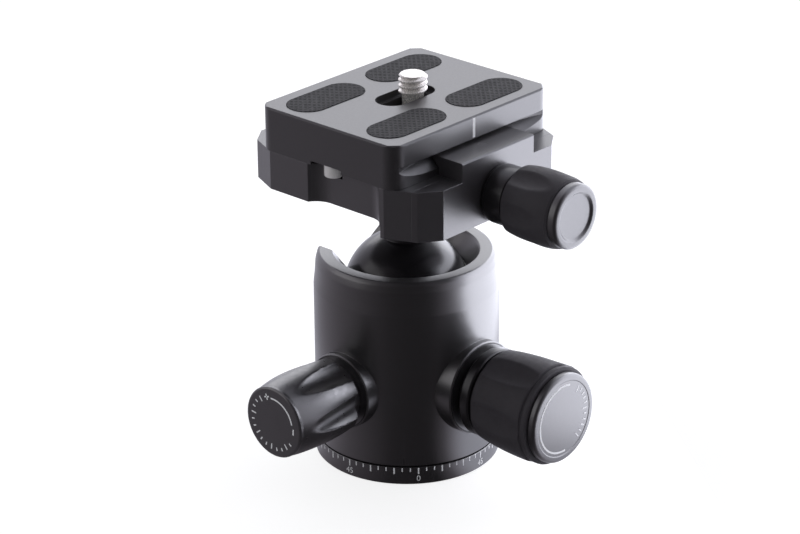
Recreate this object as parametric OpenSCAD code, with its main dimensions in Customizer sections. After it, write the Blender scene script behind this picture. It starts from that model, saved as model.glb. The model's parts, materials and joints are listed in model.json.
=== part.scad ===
// Tripod ball head with a panning base, a friction control and a quick-release clamp.
// Millimetres. +Z is up, the origin is the centre of the mounting face.
// +X points at the ball-lock knob and the clamp knob, -Y at the friction knob,
// -X at the drop notch. The quick-release plate is long in Y.

/* [Base] */
// Radius of the base disc that carries the pan scale
base_r = 20.6; // [20.3:0.1:22]
// Height of the base disc
base_h = 4.24; // [3.6:0.02:4.4]
// Radius of the tripod thread's hole
base_thread_r = 3.97; // [2.6:0.01:4.3]
// Depth of the tripod thread's hole
base_thread_depth = 10; // [7:0.5:11]
// Outside radius of the steel thread insert
insert_r = 6.2; // [5.4:0.1:6.8]
// Chamfer at the thread's mouth
thread_mouth = 0.3; // [0.1:0.1:0.6]
// Radius of the post that the housing pans on
post_r = 8.5; // [8:0.1:9]
// Height of the shoulder on the post
post_shoulder_z = 13.3; // [13.25:0.01:13.6]
// Height of the top of the post
post_top_z = 15.2; // [14.8:0.1:15.3]
// Radius of the post above its shoulder
post_tip_r = 7; // [6:0.1:7.4]

/* [Pan scale] */
// Angle between the short scale marks, degrees
scale_step = 5; // [5:5:15]
// Angle between the long scale marks, degrees
scale_long_step = 15; // [15:15:45]
// Direction of the zero mark, degrees from +X
scale_zero_angle = -41; // [-45:1:-35]
// Length of a short mark
tick_short = 0.9; // [0.5:0.1:1.2]
// Length of a long mark
tick_long = 1.5; // [1.2:0.1:1.6]
// Width of a mark
tick_w = 0.3; // [0.2:0.05:0.4]
// Height of the figures on the scale
figure_h = 1.5; // [1.2:0.1:1.6]

/* [Housing] */
// Outside radius of the housing
housing_r = 20.5; // [20.2:0.1:21]
// Height of the rim's top face
housing_top_z = 47.9; // [47.6:0.1:48.4]
// Gap between the base disc and the housing
seam = 0.26; // [0.2:0.02:0.4]
// Radius of the round chamber inside the housing
chamber_r = 14.8; // [14.7:0.05:15.2]
// Height of the shoulder that the bearing plate stops on
shoulder_z = 10.4; // [9.8:0.1:10.8]
// Radius of the bearing plate
bearing_r = 18; // [17.5:0.1:18.4]
// Radius of the mouth above the ball
mouth_r = 13.3; // [13.2:0.05:13.6]
// Height of the top of the mouth's lip
mouth_z = 43.5; // [43.3:0.1:43.8]
// Radius of the top of the funnel above the mouth
funnel_r = 15.9; // [15.4:0.1:16.4]
// Half the width of the drop notch
notch_half_w = 5.5; // [5.3:0.05:5.8]
// Half the width of the notch at the rim
notch_rim_half_w = 11.7; // [9:0.1:12.5]
// Height at which the notch starts to widen
notch_flare_z = 38.7; // [38.5:0.1:42]

/* [Ball] */
// Radius of the ball
ball_r = 13.93; // [13.85:0.01:13.94]
// Height of the ball's centre
ball_z = 38.2; // [38:0.1:38.4]
// Radius of the neck on the ball
neck_r = 5.1; // [4.8:0.05:5.15]
// Radius of the spigot above the neck
spigot_r = 4; // [3.6:0.1:4.2]

/* [Ball lock] */
// Height of the ball-lock and friction knobs' axes
knob_axis_z = 20.9; // [20.8:0.05:21]
// Radius of the boss behind the ball-lock knob
lock_boss_r = 10.5; // [10.3:0.1:11]
// Distance of the bosses' faces from the centre
boss_face = 22.2; // [22:0.1:22.4]
// Radius of the collar on the ball-lock knob
lock_collar_r = 10; // [9.6:0.1:10.2]
// Largest radius of the ball-lock knob's grip
lock_grip_r = 11.4; // [11.2:0.1:11.6]
// Distance of the grip's start from the centre
lock_grip_start = 27.3; // [27:0.1:27.6]
// Distance of the grip's end from the centre
lock_grip_end = 43.3; // [42.8:0.1:43.6]
// Radius of the cap on the ball-lock knob
lock_cap_r = 10.1; // [9.6:0.1:10.4]
// Thickness of the cap in front of the grip
lock_cap_t = 2; // [1.6:0.1:2.4]
// Number of scallops around each grip
scallops = 6; // [5:1:7]
// Rise of the wedge per millimetre of its travel
wedge_slope = 0.35; // [0.3:0.01:0.4]
// Half the length of the wedge
wedge_half_l = 10; // [9.4:0.1:10]
// Half the width of the wedge
wedge_half_w = 8.5; // [8:0.1:8.8]

/* [Friction control] */
// Radius of the boss behind the friction knob
friction_boss_r = 8.6; // [8.4:0.1:9]
// Largest radius of the friction knob
friction_knob_r = 9; // [8.8:0.1:9.3]
// Radius of the friction knob's flat face
friction_face_r = 7.8; // [7.4:0.1:8]
// Distance of the friction knob's face from the centre
friction_knob_end = 42.5; // [42:0.1:43]

/* [Pan lock] */
// Direction of the pan-lock knob, degrees from +X
pan_lock_angle = 120; // [115:1:125]
// Height of the pan-lock knob's axis
pan_lock_z = 10; // [9.9:0.1:10.1]
// Radius of the pan-lock knob
pan_knob_r = 5.4; // [5:0.1:5.5]
// Distance of the pan-lock knob's face from the centre
pan_knob_end = 33; // [31:0.5:34]

/* [Clamp] */
// Distance of the step between the thinner and the deeper part
clamp_step_x = 15.5; // [15.4:0.1:16]
// Radius of the deep boss around the ball's neck
clamp_boss_r = 11; // [10:0.5:12]
// Height of the clamp's floor, which carries the plate and everything above the neck
clamp_floor_z = 73.8; // [73:0.1:76]
// Depth of the clamp under its floor where it is deepest
clamp_deep_h = 11.15; // [11:0.05:11.3]
// Depth of the thinner part beside it
clamp_thin_h = 8.7; // [8.4:0.1:9.2]
// Half the length of the clamp across the jaws
clamp_half_x = 26.5; // [26:0.1:27]
// Half the width of the clamp's end faces
clamp_end_half = 16.5; // [16:0.1:17.5]
// Half the width of the jaws' outer faces
clamp_jaw_half = 17.5; // [16.8:0.1:18]
// How far the middle of a corner lies in from the jaw's outer face
corner_in_x = 3.2; // [2.8:0.1:3.6]
// How far the middle of a corner lies in from the clamp's end face
corner_in_y = 3; // [2.6:0.1:3.6]
// Thickness of the moving jaw
jaw_t = 4.5; // [4.2:0.1:4.8]
// Radius of the round ends of the hollow in the clamp's end faces
hollow_r = 5; // [4:0.5:6]
// Depth of that hollow
hollow_depth = 2.5; // [1.5:0.1:3]
// Half the length of the jaws' lips
lip_half = 11.5; // [10.5:0.1:12]
// Height of the lips above the clamp's floor
lip_h = 4.2; // [4:0.05:4.4]
// Depth of the clamp screw's axis under the clamp's floor
clamp_screw_drop = 5.5; // [5.3:0.1:5.7]
// Largest radius of the clamp knob
clamp_knob_r = 8.3; // [7.9:0.1:8.5]
// Distance of the clamp knob's grip from the centre
clamp_grip_start = 33; // [32.6:0.1:33.4]
// Distance of the clamp knob's cap from the centre
clamp_grip_end = 45.6; // [45:0.1:46]
// Radius of the clamp knob's cap
clamp_cap_r = 7.1; // [6.8:0.1:7.2]

/* [Plate] */
// Length of the plate along Y
plate_l = 50; // [49:0.5:52]
// Width of the plate across the jaws
plate_w = 39.3; // [39:0.1:39.4]
// Height of the plate
plate_h = 9.82; // [9.6:0.02:10.2]
// Thickness of the plate's slab over the jaws
slab_t = 5; // [4.8:0.05:5.1]
// Corner radius of the plate
plate_corner_r = 3.4; // [3:0.1:4]
// Half the width left between the dovetail grooves
dovetail_half = 17.5; // [17.3:0.05:17.7]
// Half the straight length of the dovetail grooves
groove_half = 14; // [13.5:0.1:14.5]
// Radius of the cutter that the grooves run out with
groove_cutter_r = 24.3; // [22:0.1:26]
// Width of a rubber pad
pad_w = 9.4; // [8.6:0.1:9.8]
// Length of a rubber pad
pad_l = 20.4; // [18:0.2:20.8]
// Sideways distance of the pads from the middle
pad_x = 11.7; // [11.4:0.1:12]
// Lengthways distance of the pads from the middle
pad_y = 12.4; // [12:0.1:12.6]
// How far the pads stand above the plate
pad_rise = 0.12; // [0.05:0.01:0.3]
// Length of the slot for the camera screw
slot_l = 13.8; // [13.6:0.1:16]
// Width of the slot around the screw's shank
slot_w = 5.6; // [5.2:0.1:5.8]
// Width of the recess around the slot
slot_recess_w = 7.4; // [7:0.1:8]

/* [Camera screw] */
// Outside radius of the camera screw's thread
camera_thread_r = 3.175; // [3:0.005:3.2]
// Height of the camera screw's tip above the plate
camera_screw_rise = 4.26; // [3.4:0.02:4.9]
// Rest position of the camera screw along the slot
camera_screw_y = 2.5; // [0:0.5:3]

/* [Fits] */
// Radial clearance of a shaft that turns or slides in a bore
running = 0.05; // [0.03:0.01:0.08]
// Gap between flat faces that slide on each other
slide_gap = 0.02; // [0.01:0.01:0.03]
// Gap between the ball and its cup with the lock slack
cup_gap = 0.27; // [0.26:0.01:0.3]

/* [Hidden] */
$fn = 96;
eps = 0.01;
housing_bottom_z = base_h + seam;
bearing_step_z = 15.4;
washer_z = 12.6;
washer_t = 0.65;
retainer_r = 11.8;
chamber_top_z = mouth_z - 0.5;
cup_bottom_z = 17.5;
cup_top_z = 31;
cup_r = 14.5;
cup_hole_r = 6.5;
floor_z = 16.6;
wedge_mid_z = 21.3;
lock_thread_r = 2;
lock_shaft_r = 3;
lock_clip_r = knob_axis_z - floor_z - 0.2;
lock_clip_start = 13.2;
lock_shoulder = 13.95;
lock_washer_r = 7.6;
lock_core_r = 7.6;
lock_collar_start = 24.1;
lock_collar_end = 26.4;
lock_spindle_end = lock_grip_end - 3;
bearing_screw_out = 16.4;
spanner_hole_out = 9.5;
cup_spring_y = 11.3;
index_angle = -50;
push_thread_r = 1.5;
plunger_r = 3.3;
plunger_start = cup_r + 0.3;
shoe_r = 2.6;
shoe_thread_start = 15;
pusher_end = 17.4;
push_journal_r = 1.9;
bush_start = 18.9;
push_flange_start = bush_start - 0.9;
friction_bush_r = 5;
pan_bush_r = 4.2;
friction_knob_start = 24.2;
friction_spindle_end = friction_knob_end - 4.5;
pan_knob_start = 23.6;
pan_spindle_end = pan_knob_end - 3;
clamp_screw_r = 2.5;
stem_screw_r = 2.5;
stem_head_r = 4.5;
stem_hole_depth = 8;
spigot_h = 4.4;
clamp_core_r = 5;
clamp_collar_r = 6.5;
clamp_bottom_z = clamp_floor_z - clamp_deep_h;
clamp_raised_z = clamp_floor_z - clamp_thin_h;
clamp_screw_z = clamp_floor_z - clamp_screw_drop;
stem_seat_z = clamp_floor_z - 2.6;
lip_top_z = clamp_floor_z + lip_h;
clamp_screw_start = 8;
clamp_half_y = plate_l / 2;
jaw_split_x = clamp_half_x - jaw_t;
hollow_left_x = -1;
hollow_right_x = 10.9;
jaw_dot_x = clamp_half_x - 4.4;
jaw_dot_r = 1;
pin_y = 12;
pin_r = 1.5;
pin_start = 12;
pin_end = clamp_half_x - 1.1;
spring_y = 8;
spring_hole_r = 1.6;
spring_start = jaw_split_x - 5;
spring_l = 6.8;
beyond = clamp_half_x + 4;
plate_bottom_z = clamp_floor_z + slide_gap;
plate_top_z = plate_bottom_z + plate_h;
slab_z = plate_top_z - slab_t;
camera_screw_top_z = plate_top_z + camera_screw_rise;
flank_drop = plate_w / 2 - dovetail_half;
flank_top_z = clamp_floor_z + 3.7;
flank_low_z = flank_top_z - flank_drop;
pocket_top_z = plate_top_z - 4.64;
shank_r = 2.4;
pocket_w = 11.4;
slider_l = 11.4;
safety_y = plate_l / 2 - 2.5;
safety_shank_r = 1.25;
safety_head_r = 2.1;
safety_recess_r = 5;
safety_seat_z = plate_bottom_z + 0.9;
safety_head_z = clamp_floor_z - 2;
safety_pocket_z = clamp_floor_z - 2.3;
safety_pocket_w = 4.9;
safety_pocket_l = 7.2;

// ---------- placing ----------

// Puts a shape built along +Z on the ball-lock axis, pointing at +X
module on_lock_axis() {
  translate([0, 0, knob_axis_z])
    rotate([0, 90, 0])
      children();
}

// Puts a shape built along +Z on the friction axis, pointing at -Y
module on_friction_axis() {
  translate([0, 0, knob_axis_z])
    rotate([90, 0, 0])
      children();
}

// Puts a shape built along +Z on the pan-lock axis
module on_pan_axis() {
  rotate([0, 0, pan_lock_angle])
    translate([0, 0, pan_lock_z])
      rotate([0, 90, 0])
        children();
}

// Puts a shape built along +Z on the clamp screw's axis, pointing at +X
module on_clamp_axis() {
  translate([0, 0, clamp_screw_z])
    rotate([0, 90, 0])
      children();
}

// Repeats a shape at each screw of the bearing plate
module at_bearing_screws() {
  for (a = [45 : 90 : 315])
    rotate([0, 0, a])
      translate([bearing_screw_out, 0, 0])
        children();
}

// Mirrors a shape to the other end of the plate as well
module both_ends() {
  children();
  mirror([0, 1, 0])
    children();
}

// ---------- shared shapes ----------

// A cylinder between two heights
module rod(r, z0, z1) {
  translate([0, 0, z0])
    cylinder(r = r, h = z1 - z0);
}

// A ring between two heights
module ring(r_out, r_in, z0, z1) {
  difference() {
    rod(r_out, z0, z1);
    rod(r_in, z0 - 1, z1 + 1);
  }
}

// A stadium outline, long in Y
module stadium(w, l) {
  straight = l - w;
  square([w, straight], center = true);
  for (side = [-1, 1])
    translate([0, side * straight / 2])
      circle(d = w);
}

// Half the profile of a barrel that bulges to its largest radius at one height
module barrel_profile(r_max, z_max, curve_r, z0, z1) {
  intersection() {
    translate([0, z0])
      square([r_max + 1, z1 - z0]);
    translate([r_max - curve_r, z_max])
      circle(r = curve_r, $fn = 360);
  }
}

// Long flutes around a grip, deepest at the low end and running out towards the high end
module flutes(count, r_surface, depth, cutter_r, lean, z_low, turn) {
  for (i = [0 : count - 1])
    rotate([0, 0, turn + i * 360 / count])
      translate([r_surface - depth + cutter_r, 0, z_low])
        rotate([0, lean, 0])
          translate([0, 0, -6])
            cylinder(r = cutter_r, h = 30);
}

// One helical spring standing on the XY plane
module coil(r, wire_r, h, turns) {
  linear_extrude(height = h, twist = -360 * turns, slices = 12 * turns, $fn = 8)
    translate([r, 0])
      circle(r = wire_r);
}

// ---------- base ----------

// A flat box standing on the base disc's side, at an angle, for a mark
module mark_box(angle, across, top, w, h) {
  rotate([0, 0, angle])
    translate([base_r - 0.15, across - w / 2, base_h - top - h])
      cube([1, w, h]);
}

// One stroke of a figure, from its left and low corner
module stroke(angle, x, y, w, h) {
  mark_box(angle, x + w / 2, tick_long + 0.3 + figure_h - y - h, w, h);
}

// The strokes of one digit, lit like the bars of a seven-bar display
module digit(angle, x, bars) {
  bar = 0.2;
  wide = 0.8;
  half = figure_h / 2;
  if (bars[0]) stroke(angle, x, figure_h - bar, wide, bar);
  if (bars[1]) stroke(angle, x, half - bar / 2, wide, bar);
  if (bars[2]) stroke(angle, x, 0, wide, bar);
  if (bars[3]) stroke(angle, x, half - eps, bar, half + eps);
  if (bars[4]) stroke(angle, x + wide - bar, half - eps, bar, half + eps);
  if (bars[5]) stroke(angle, x, 0, bar, half);
  if (bars[6]) stroke(angle, x + wide - bar, 0, bar, half);
}

// Bars lit for the digits that the scale uses
function bars_for(d) =
  d == 0 ? [true, false, true, true, true, true, true] :
  d == 1 ? [false, false, false, false, true, false, true] :
  d == 3 ? [true, true, true, false, true, false, true] :
  d == 4 ? [false, true, false, true, true, false, true] :
  d == 5 ? [true, true, true, true, false, false, true] :
  d == 8 ? [true, true, true, true, true, true, true] :
  [true, true, true, true, true, false, true];

// A whole figure centred on one angle of the scale
module figure(angle, value) {
  tens = floor(value / 10) % 10;
  if (value < 10) digit(angle, -0.4, bars_for(value));
  if (value >= 10 && value < 100) {
    digit(angle, -0.95, bars_for(tens));
    digit(angle, 0.15, bars_for(value % 10));
  }
  if (value >= 100) {
    digit(angle, -1.5, bars_for(floor(value / 100)));
    digit(angle, -0.4, bars_for(tens));
    digit(angle, 0.7, bars_for(value % 10));
  }
}

// All marks and figures as boxes that reach past the disc's side
module scale_boxes() {
  for (a = [0 : scale_step : 359])
    mark_box(scale_zero_angle + a, 0, 0,
      tick_w, a % scale_long_step == 0 ? tick_long : tick_short);
  for (a = [-135 : 45 : 180])
    figure(scale_zero_angle + a, abs(a));
}

// Base disc with the post that the housing turns on
module pan_base() {
  color([0.12, 0.12, 0.13])
    difference() {
      rotate_extrude()
        polygon([
          [0, 0], [base_r - 0.4, 0], [base_r, 0.4], [base_r, base_h],
          [post_r, base_h], [post_r, post_shoulder_z], [post_tip_r, post_shoulder_z],
          [post_tip_r, post_top_z], [0, post_top_z]]);
      rod(insert_r, -1, base_thread_depth + 1);
      scale_boxes();
    }
}

// White paint filling the scale's marks and figures
module scale_marks() {
  color([0.95, 0.95, 0.95])
    intersection() {
      scale_boxes();
      ring(base_r, base_r - 1, 0, base_h, $fn = 720);
    }
}

// Steel insert with the hole for the tripod's thread
module thread_insert() {
  color([0.7, 0.7, 0.72])
    difference() {
      rod(insert_r, 0, base_thread_depth + 1);
      rod(base_thread_r, -1, base_thread_depth);
      translate([0, 0, -eps])
        cylinder(r1 = base_thread_r + thread_mouth, r2 = base_thread_r, h = thread_mouth);
    }
}

// Plastic washer between the bearing plate and the retaining nut
module thrust_washer() {
  color([0.9, 0.88, 0.8])
    ring(retainer_r - 0.3, post_r + 0.2, washer_z + slide_gap, washer_z + washer_t);
}

// Nut on the post that holds the housing down
module retaining_nut() {
  color([0.6, 0.6, 0.62])
    difference() {
      ring(retainer_r, post_tip_r, post_shoulder_z, post_top_z);
      for (a = [0 : 90 : 270])
        rotate([0, 0, a])
          translate([spanner_hole_out, 0, post_shoulder_z - 1])
            cylinder(r = 0.8, h = 4);
    }
}

// ---------- housing ----------

// Outline of the drop notch, seen along X: wide in its first direction, high in its second
module notch_outline() {
  translate([0, ball_z])
    circle(r = notch_half_w);
  polygon([
    [-notch_half_w, ball_z], [notch_half_w, ball_z], [notch_half_w, notch_flare_z],
    [notch_rim_half_w, housing_top_z], [notch_rim_half_w, housing_top_z + 1],
    [-notch_rim_half_w, housing_top_z + 1], [-notch_rim_half_w, housing_top_z],
    [-notch_half_w, notch_flare_z]]);
}

// The drop notch as a solid to cut away, on the -X side
module notch_cut() {
  translate([-6, 0, 0])
    rotate([90, 0, -90])
      linear_extrude(height = 18)
        notch_outline();
}

// Housing with its bosses, chamber, mouth and drop notch
module housing() {
  color([0.1, 0.1, 0.11])
    difference() {
      union() {
        rotate_extrude()
          polygon([
            [0, housing_bottom_z], [housing_r - 0.2, housing_bottom_z],
            [housing_r, housing_bottom_z + 0.2], [housing_r, ball_z + 2],
            [housing_r - 0.3, ball_z + 4.6], [housing_r - 0.5, ball_z + 7.4],
            [housing_r - 0.9, housing_top_z - 0.8], [housing_r - 1.5, housing_top_z],
            [0, housing_top_z]]);
        on_lock_axis() {
          rod(lock_boss_r, 14, boss_face - 0.4);
          translate([0, 0, boss_face - 0.4])
            cylinder(r1 = lock_boss_r, r2 = lock_boss_r - 0.34, h = 0.4);
        }
        on_friction_axis() {
          rod(friction_boss_r, 14, boss_face - 0.4);
          translate([0, 0, boss_face - 0.4])
            cylinder(r1 = friction_boss_r, r2 = friction_boss_r - 0.34, h = 0.4);
        }
        on_pan_axis()
          rod(pan_knob_r, 14, boss_face);
      }
      rod(bearing_r + 0.02, housing_bottom_z - 1, shoulder_z);
      rod(chamber_r, shoulder_z - 1, chamber_top_z);
      rod(mouth_r, chamber_top_z - 1, housing_top_z + 1);
      translate([0, 0, mouth_z])
        cylinder(r1 = mouth_r, r2 = funnel_r, h = housing_top_z - 0.5 - mouth_z);
      translate([0, 0, housing_top_z - 0.5 - eps])
        cylinder(r1 = funnel_r, r2 = funnel_r + 0.5, h = 0.52);
      notch_cut();
      on_lock_axis() {
        rod(lock_shaft_r + running, 13, 24);
        rod(lock_washer_r, boss_face - 0.7, 24);
      }
      on_friction_axis() {
        rod(plunger_r + running, 13, bush_start);
        rod(friction_bush_r, bush_start - eps, 24);
      }
      on_pan_axis() {
        rod(shoe_r + running, 13, bush_start);
        rod(pan_bush_r, bush_start - eps, 24);
      }
      at_bearing_screws()
        rod(1, shoulder_z - 1, shoulder_z + 4);
      index_groove();
    }
}

// Fine unpainted groove above the seam, against which the scale is read
module index_groove() {
  rotate([0, 0, index_angle])
    translate([housing_r - 0.15, -0.15, housing_bottom_z + 0.3])
      cube([1, 0.3, 1.7]);
}

// Plate that closes the housing and turns on the post
module bearing_plate() {
  color([0.7, 0.68, 0.5])
    difference() {
      union() {
        rod(bearing_r, housing_bottom_z, shoulder_z);
        rod(chamber_r - 0.05, shoulder_z - 1, bearing_step_z);
      }
      rod(post_r + running, housing_bottom_z - 1, bearing_step_z);
      rod(retainer_r + 0.4, washer_z, bearing_step_z + 1);
      on_pan_axis()
        rod(shoe_r + running, 5, 20);
      at_bearing_screws() {
        rod(1, housing_bottom_z - 1, shoulder_z + 1);
        rod(1.5, housing_bottom_z - 1, housing_bottom_z + 1.5);
      }
    }
}

// Screws that hold the bearing plate up against the housing's shoulder
module bearing_screws() {
  color([0.6, 0.6, 0.62])
    at_bearing_screws()
      difference() {
        union() {
          rod(1, housing_bottom_z + 1, shoulder_z + 3.5);
          rod(1.5, housing_bottom_z + 0.2, housing_bottom_z + 1.5);
        }
        translate([0, 0, housing_bottom_z + 0.1])
          cylinder(r = 0.7, h = 0.8, $fn = 6);
      }
}

// Disc over the pan bearing that the wedge slides on
module wedge_floor() {
  color([0.6, 0.6, 0.62])
    rod(chamber_r - 0.05, bearing_step_z, floor_z);
}

// Plastic ring that the ball is pressed up against
module upper_seat() {
  color([0.92, 0.92, 0.9])
    difference() {
      rod(chamber_r - 0.05, ball_z + 1.4, chamber_top_z);
      translate([0, 0, ball_z])
        sphere(r = ball_r + running);
      rod(mouth_r - 0.3, chamber_top_z - 1, chamber_top_z + 1);
      notch_cut();
    }
}

// Bush screwed into the friction boss, which keeps the spindle captive
module friction_bush() {
  color([0.7, 0.6, 0.3])
    on_friction_axis()
      ring(friction_bush_r, push_journal_r + running, bush_start, boss_face);
}

// Bush screwed into the pan-lock boss
module pan_bush() {
  color([0.7, 0.6, 0.3])
    on_pan_axis()
      ring(pan_bush_r, push_journal_r + running, bush_start, boss_face);
}

// ---------- ball and its lock ----------

// Slanted solid that fills the space under the wedge's top face
module wedge_prism(half_l, half_w, low_z, lift) {
  translate([0, half_w, 0])
    rotate([90, 0, 0])
      linear_extrude(height = 2 * half_w)
        polygon([
          [-half_l, low_z], [half_l, low_z],
          [half_l, wedge_mid_z + lift - half_l * wedge_slope],
          [-half_l, wedge_mid_z + lift + half_l * wedge_slope]]);
}

// Cup under the ball, lifted by the wedge
module ball_cup() {
  color([0.75, 0.75, 0.77])
    difference() {
      rod(cup_r, cup_bottom_z, cup_top_z);
      translate([0, 0, ball_z])
        sphere(r = ball_r + cup_gap);
      rod(cup_hole_r, cup_bottom_z - 1, cup_top_z);
      wedge_prism(16, wedge_half_w + 0.2, cup_bottom_z - 3, slide_gap);
      translate([0, -lock_clip_r - 0.4, cup_bottom_z - 1])
        cube([16, 2 * lock_clip_r + 0.8, knob_axis_z + lock_clip_r + 0.6 - cup_bottom_z + 1]);
      for (side = [-1, 1])
        translate([0, side * cup_spring_y, cup_bottom_z - 1])
          cylinder(r = 1.9, h = 2.2);
    }
}

// Springs that carry the cup while the lock is slack
module cup_springs() {
  color([0.8, 0.8, 0.82])
    for (side = [-1, 1])
      translate([0, side * cup_spring_y, floor_z])
        coil(1.2, 0.35, 2, 3);
}

// Wedge on the lock spindle's thread
module lock_wedge() {
  color([0.7, 0.7, 0.72])
    difference() {
      wedge_prism(wedge_half_l, wedge_half_w, floor_z + slide_gap, 0);
      on_lock_axis()
        rod(lock_thread_r + running, -12, 12);
    }
}

// Steel spindle of the ball lock
module lock_spindle() {
  color([0.75, 0.75, 0.78])
    on_lock_axis() {
      rod(lock_thread_r, -9, lock_shoulder + eps);
      rod(lock_shaft_r, lock_shoulder, lock_spindle_end);
    }
}

// Clip that keeps the lock spindle in the housing
module lock_clip() {
  color([0.5, 0.5, 0.52])
    on_lock_axis()
      ring(lock_clip_r, lock_thread_r, lock_clip_start, lock_shoulder);
}

// Washer that the ball-lock knob turns on
module lock_washer() {
  color([0.9, 0.88, 0.8])
    on_lock_axis()
      ring(lock_washer_r - 0.1, lock_shaft_r + 0.2, boss_face - 0.7, boss_face);
}

// Aluminium core and collar of the ball-lock knob
module lock_hub() {
  color([0.35, 0.35, 0.37])
    on_lock_axis()
      difference() {
        union() {
          rod(8, boss_face + slide_gap, lock_collar_start);
          rod(lock_collar_r - 0.3, lock_collar_start - 0.3, lock_collar_end + 0.3);
          rod(lock_collar_r, lock_collar_start, lock_collar_end);
          rod(9, lock_collar_end, lock_grip_start + eps);
          rod(lock_core_r, lock_grip_start, lock_grip_end);
        }
        rod(lock_shaft_r, boss_face - 1, lock_spindle_end);
      }
}

// Rubber grip of the ball-lock knob
module lock_grip() {
  color([0.08, 0.08, 0.09])
    on_lock_axis()
      difference() {
        rotate_extrude()
          difference() {
            union() {
              barrel_profile(lock_grip_r, 38.5, 52, lock_grip_start, lock_grip_end - 1.5);
              barrel_profile(lock_grip_r - 0.45, 38.5, 52, lock_grip_start, lock_grip_end);
            }
            translate([lock_grip_r - 0.2, lock_grip_end - 1.2])
              circle(r = 0.55, $fn = 24);
          }
        rod(lock_core_r, lock_grip_start - 1, lock_grip_end + 1);
        flutes(scallops, lock_grip_r - 0.6, 1.1, 9, 5, lock_grip_start, 30);
      }
}

// Cap on the ball-lock knob
module lock_cap() {
  color([0.7, 0.7, 0.73])
    on_lock_axis()
      rotate_extrude()
        difference() {
          translate([0, lock_grip_end])
            square([lock_cap_r, lock_cap_t]);
          difference() {
            translate([lock_cap_r - 0.9, lock_grip_end + lock_cap_t - 0.9])
              square(1);
            translate([lock_cap_r - 0.9, lock_grip_end + lock_cap_t - 0.9])
              circle(r = 0.9, $fn = 48);
          }
          translate([lock_cap_r - 0.3, lock_grip_end - eps])
            square([1, 0.3]);
        }
}

// Pin that the friction spindle presses on the cup's side
module friction_plunger() {
  color([0.7, 0.6, 0.3])
    on_friction_axis()
      difference() {
        rod(plunger_r, plunger_start, pusher_end);
        rod(push_thread_r + running, plunger_start + 0.8, pusher_end + 1);
      }
}

// A captive spindle: thread, flange behind the bush, and shaft into the knob
module push_spindle(thread_start, flange_r, shaft_end) {
  rod(push_thread_r, thread_start, push_flange_start + 0.1);
  rod(flange_r, push_flange_start, bush_start - slide_gap);
  rod(push_journal_r, bush_start - 0.4, shaft_end);
}

// Steel spindle of the friction control
module friction_spindle() {
  color([0.75, 0.75, 0.78])
    on_friction_axis()
      push_spindle(plunger_start + 1.1, plunger_r - 0.1, friction_spindle_end);
}

// Friction knob, a barrel with deep rounded flutes
module friction_knob() {
  color([0.1, 0.1, 0.11])
    on_friction_axis()
      difference() {
        rotate_extrude()
          difference() {
            union() {
              barrel_profile(friction_knob_r, 31.5, 52, friction_knob_start, friction_knob_end);
              translate([0, boss_face + slide_gap])
                square([6.4, 3]);
            }
            translate([friction_face_r - 0.1, friction_knob_end - 0.5])
              rotate(45)
                square([3, 1.5]);
          }
        rod(push_journal_r, bush_start, friction_spindle_end);
        flutes(scallops, friction_knob_r, 1.9, 3.6, 7, friction_knob_start, 0);
        friction_mark_cut();
      }
}

// Grooves for the arc, the plus and the minus on the friction knob's face
module friction_mark_cut() {
  translate([0, 0, friction_knob_end - 0.2])
    linear_extrude(height = 1)
      friction_mark_outline();
}

// Outline of the arc with a plus at one end and a minus at the other
module friction_mark_outline() {
  difference() {
    circle(r = 5.7);
    circle(r = 5.3);
    rotate(-40)
      translate([0, -10])
        square([20, 20]);
    rotate(70)
      translate([0, -10])
        square([20, 20]);
  }
  for (side = [0, 90])
    rotate(250)
      translate([-5.5, 0])
        rotate(side)
          square([1.3, 0.3], center = true);
  rotate(330)
    translate([5.5, 0])
      square([0.3, 1.3], center = true);
}

// White paint in the friction knob's grooves
module friction_marks() {
  color([0.95, 0.95, 0.95])
    on_friction_axis()
      translate([0, 0, friction_knob_end - 0.2])
        linear_extrude(height = 0.2)
          friction_mark_outline();
}

// Shoe that the pan lock presses on the post
module pan_shoe() {
  color([0.7, 0.6, 0.3])
    difference() {
      on_pan_axis()
        difference() {
          rod(shoe_r, post_r - 0.5, pusher_end);
          rod(push_thread_r + running, shoe_thread_start, pusher_end + 1);
        }
      rod(post_r + 0.3, 0, 20);
    }
}

// Steel spindle of the pan lock
module pan_spindle() {
  color([0.75, 0.75, 0.78])
    on_pan_axis()
      push_spindle(shoe_thread_start + 0.3, shoe_r - 0.1, pan_spindle_end);
}

// Pan-lock knob
module pan_knob() {
  color([0.1, 0.1, 0.11])
    on_pan_axis()
      difference() {
        union() {
          rod(4, boss_face + slide_gap, pan_knob_start + 0.4);
          rod(pan_knob_r, pan_knob_start, pan_knob_end - 0.6);
        }
        rod(push_journal_r, bush_start, pan_spindle_end);
        flutes(8, pan_knob_r, 0.5, 1.6, 2, pan_knob_start, 0);
      }
}

// Cap on the pan-lock knob
module pan_cap() {
  color([0.7, 0.7, 0.73])
    on_pan_axis() {
      rod(pan_knob_r - 0.5, pan_knob_end - 0.6, pan_knob_end - 0.3);
      translate([0, 0, pan_knob_end - 0.3])
        cylinder(r1 = pan_knob_r - 0.5, r2 = pan_knob_r - 0.8, h = 0.3);
    }
}

// Ball with its neck and the spigot that enters the clamp
module ball() {
  color([0.13, 0.13, 0.14])
    difference() {
      union() {
        translate([0, 0, ball_z])
          sphere(r = ball_r);
        rod(neck_r, ball_z + 5, clamp_bottom_z - slide_gap);
        rod(spigot_r, clamp_bottom_z - 1, clamp_bottom_z + spigot_h);
      }
      rod(stem_screw_r + running, clamp_bottom_z - stem_hole_depth,
        clamp_bottom_z + spigot_h + 1);
    }
}

// ---------- clamp ----------

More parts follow.
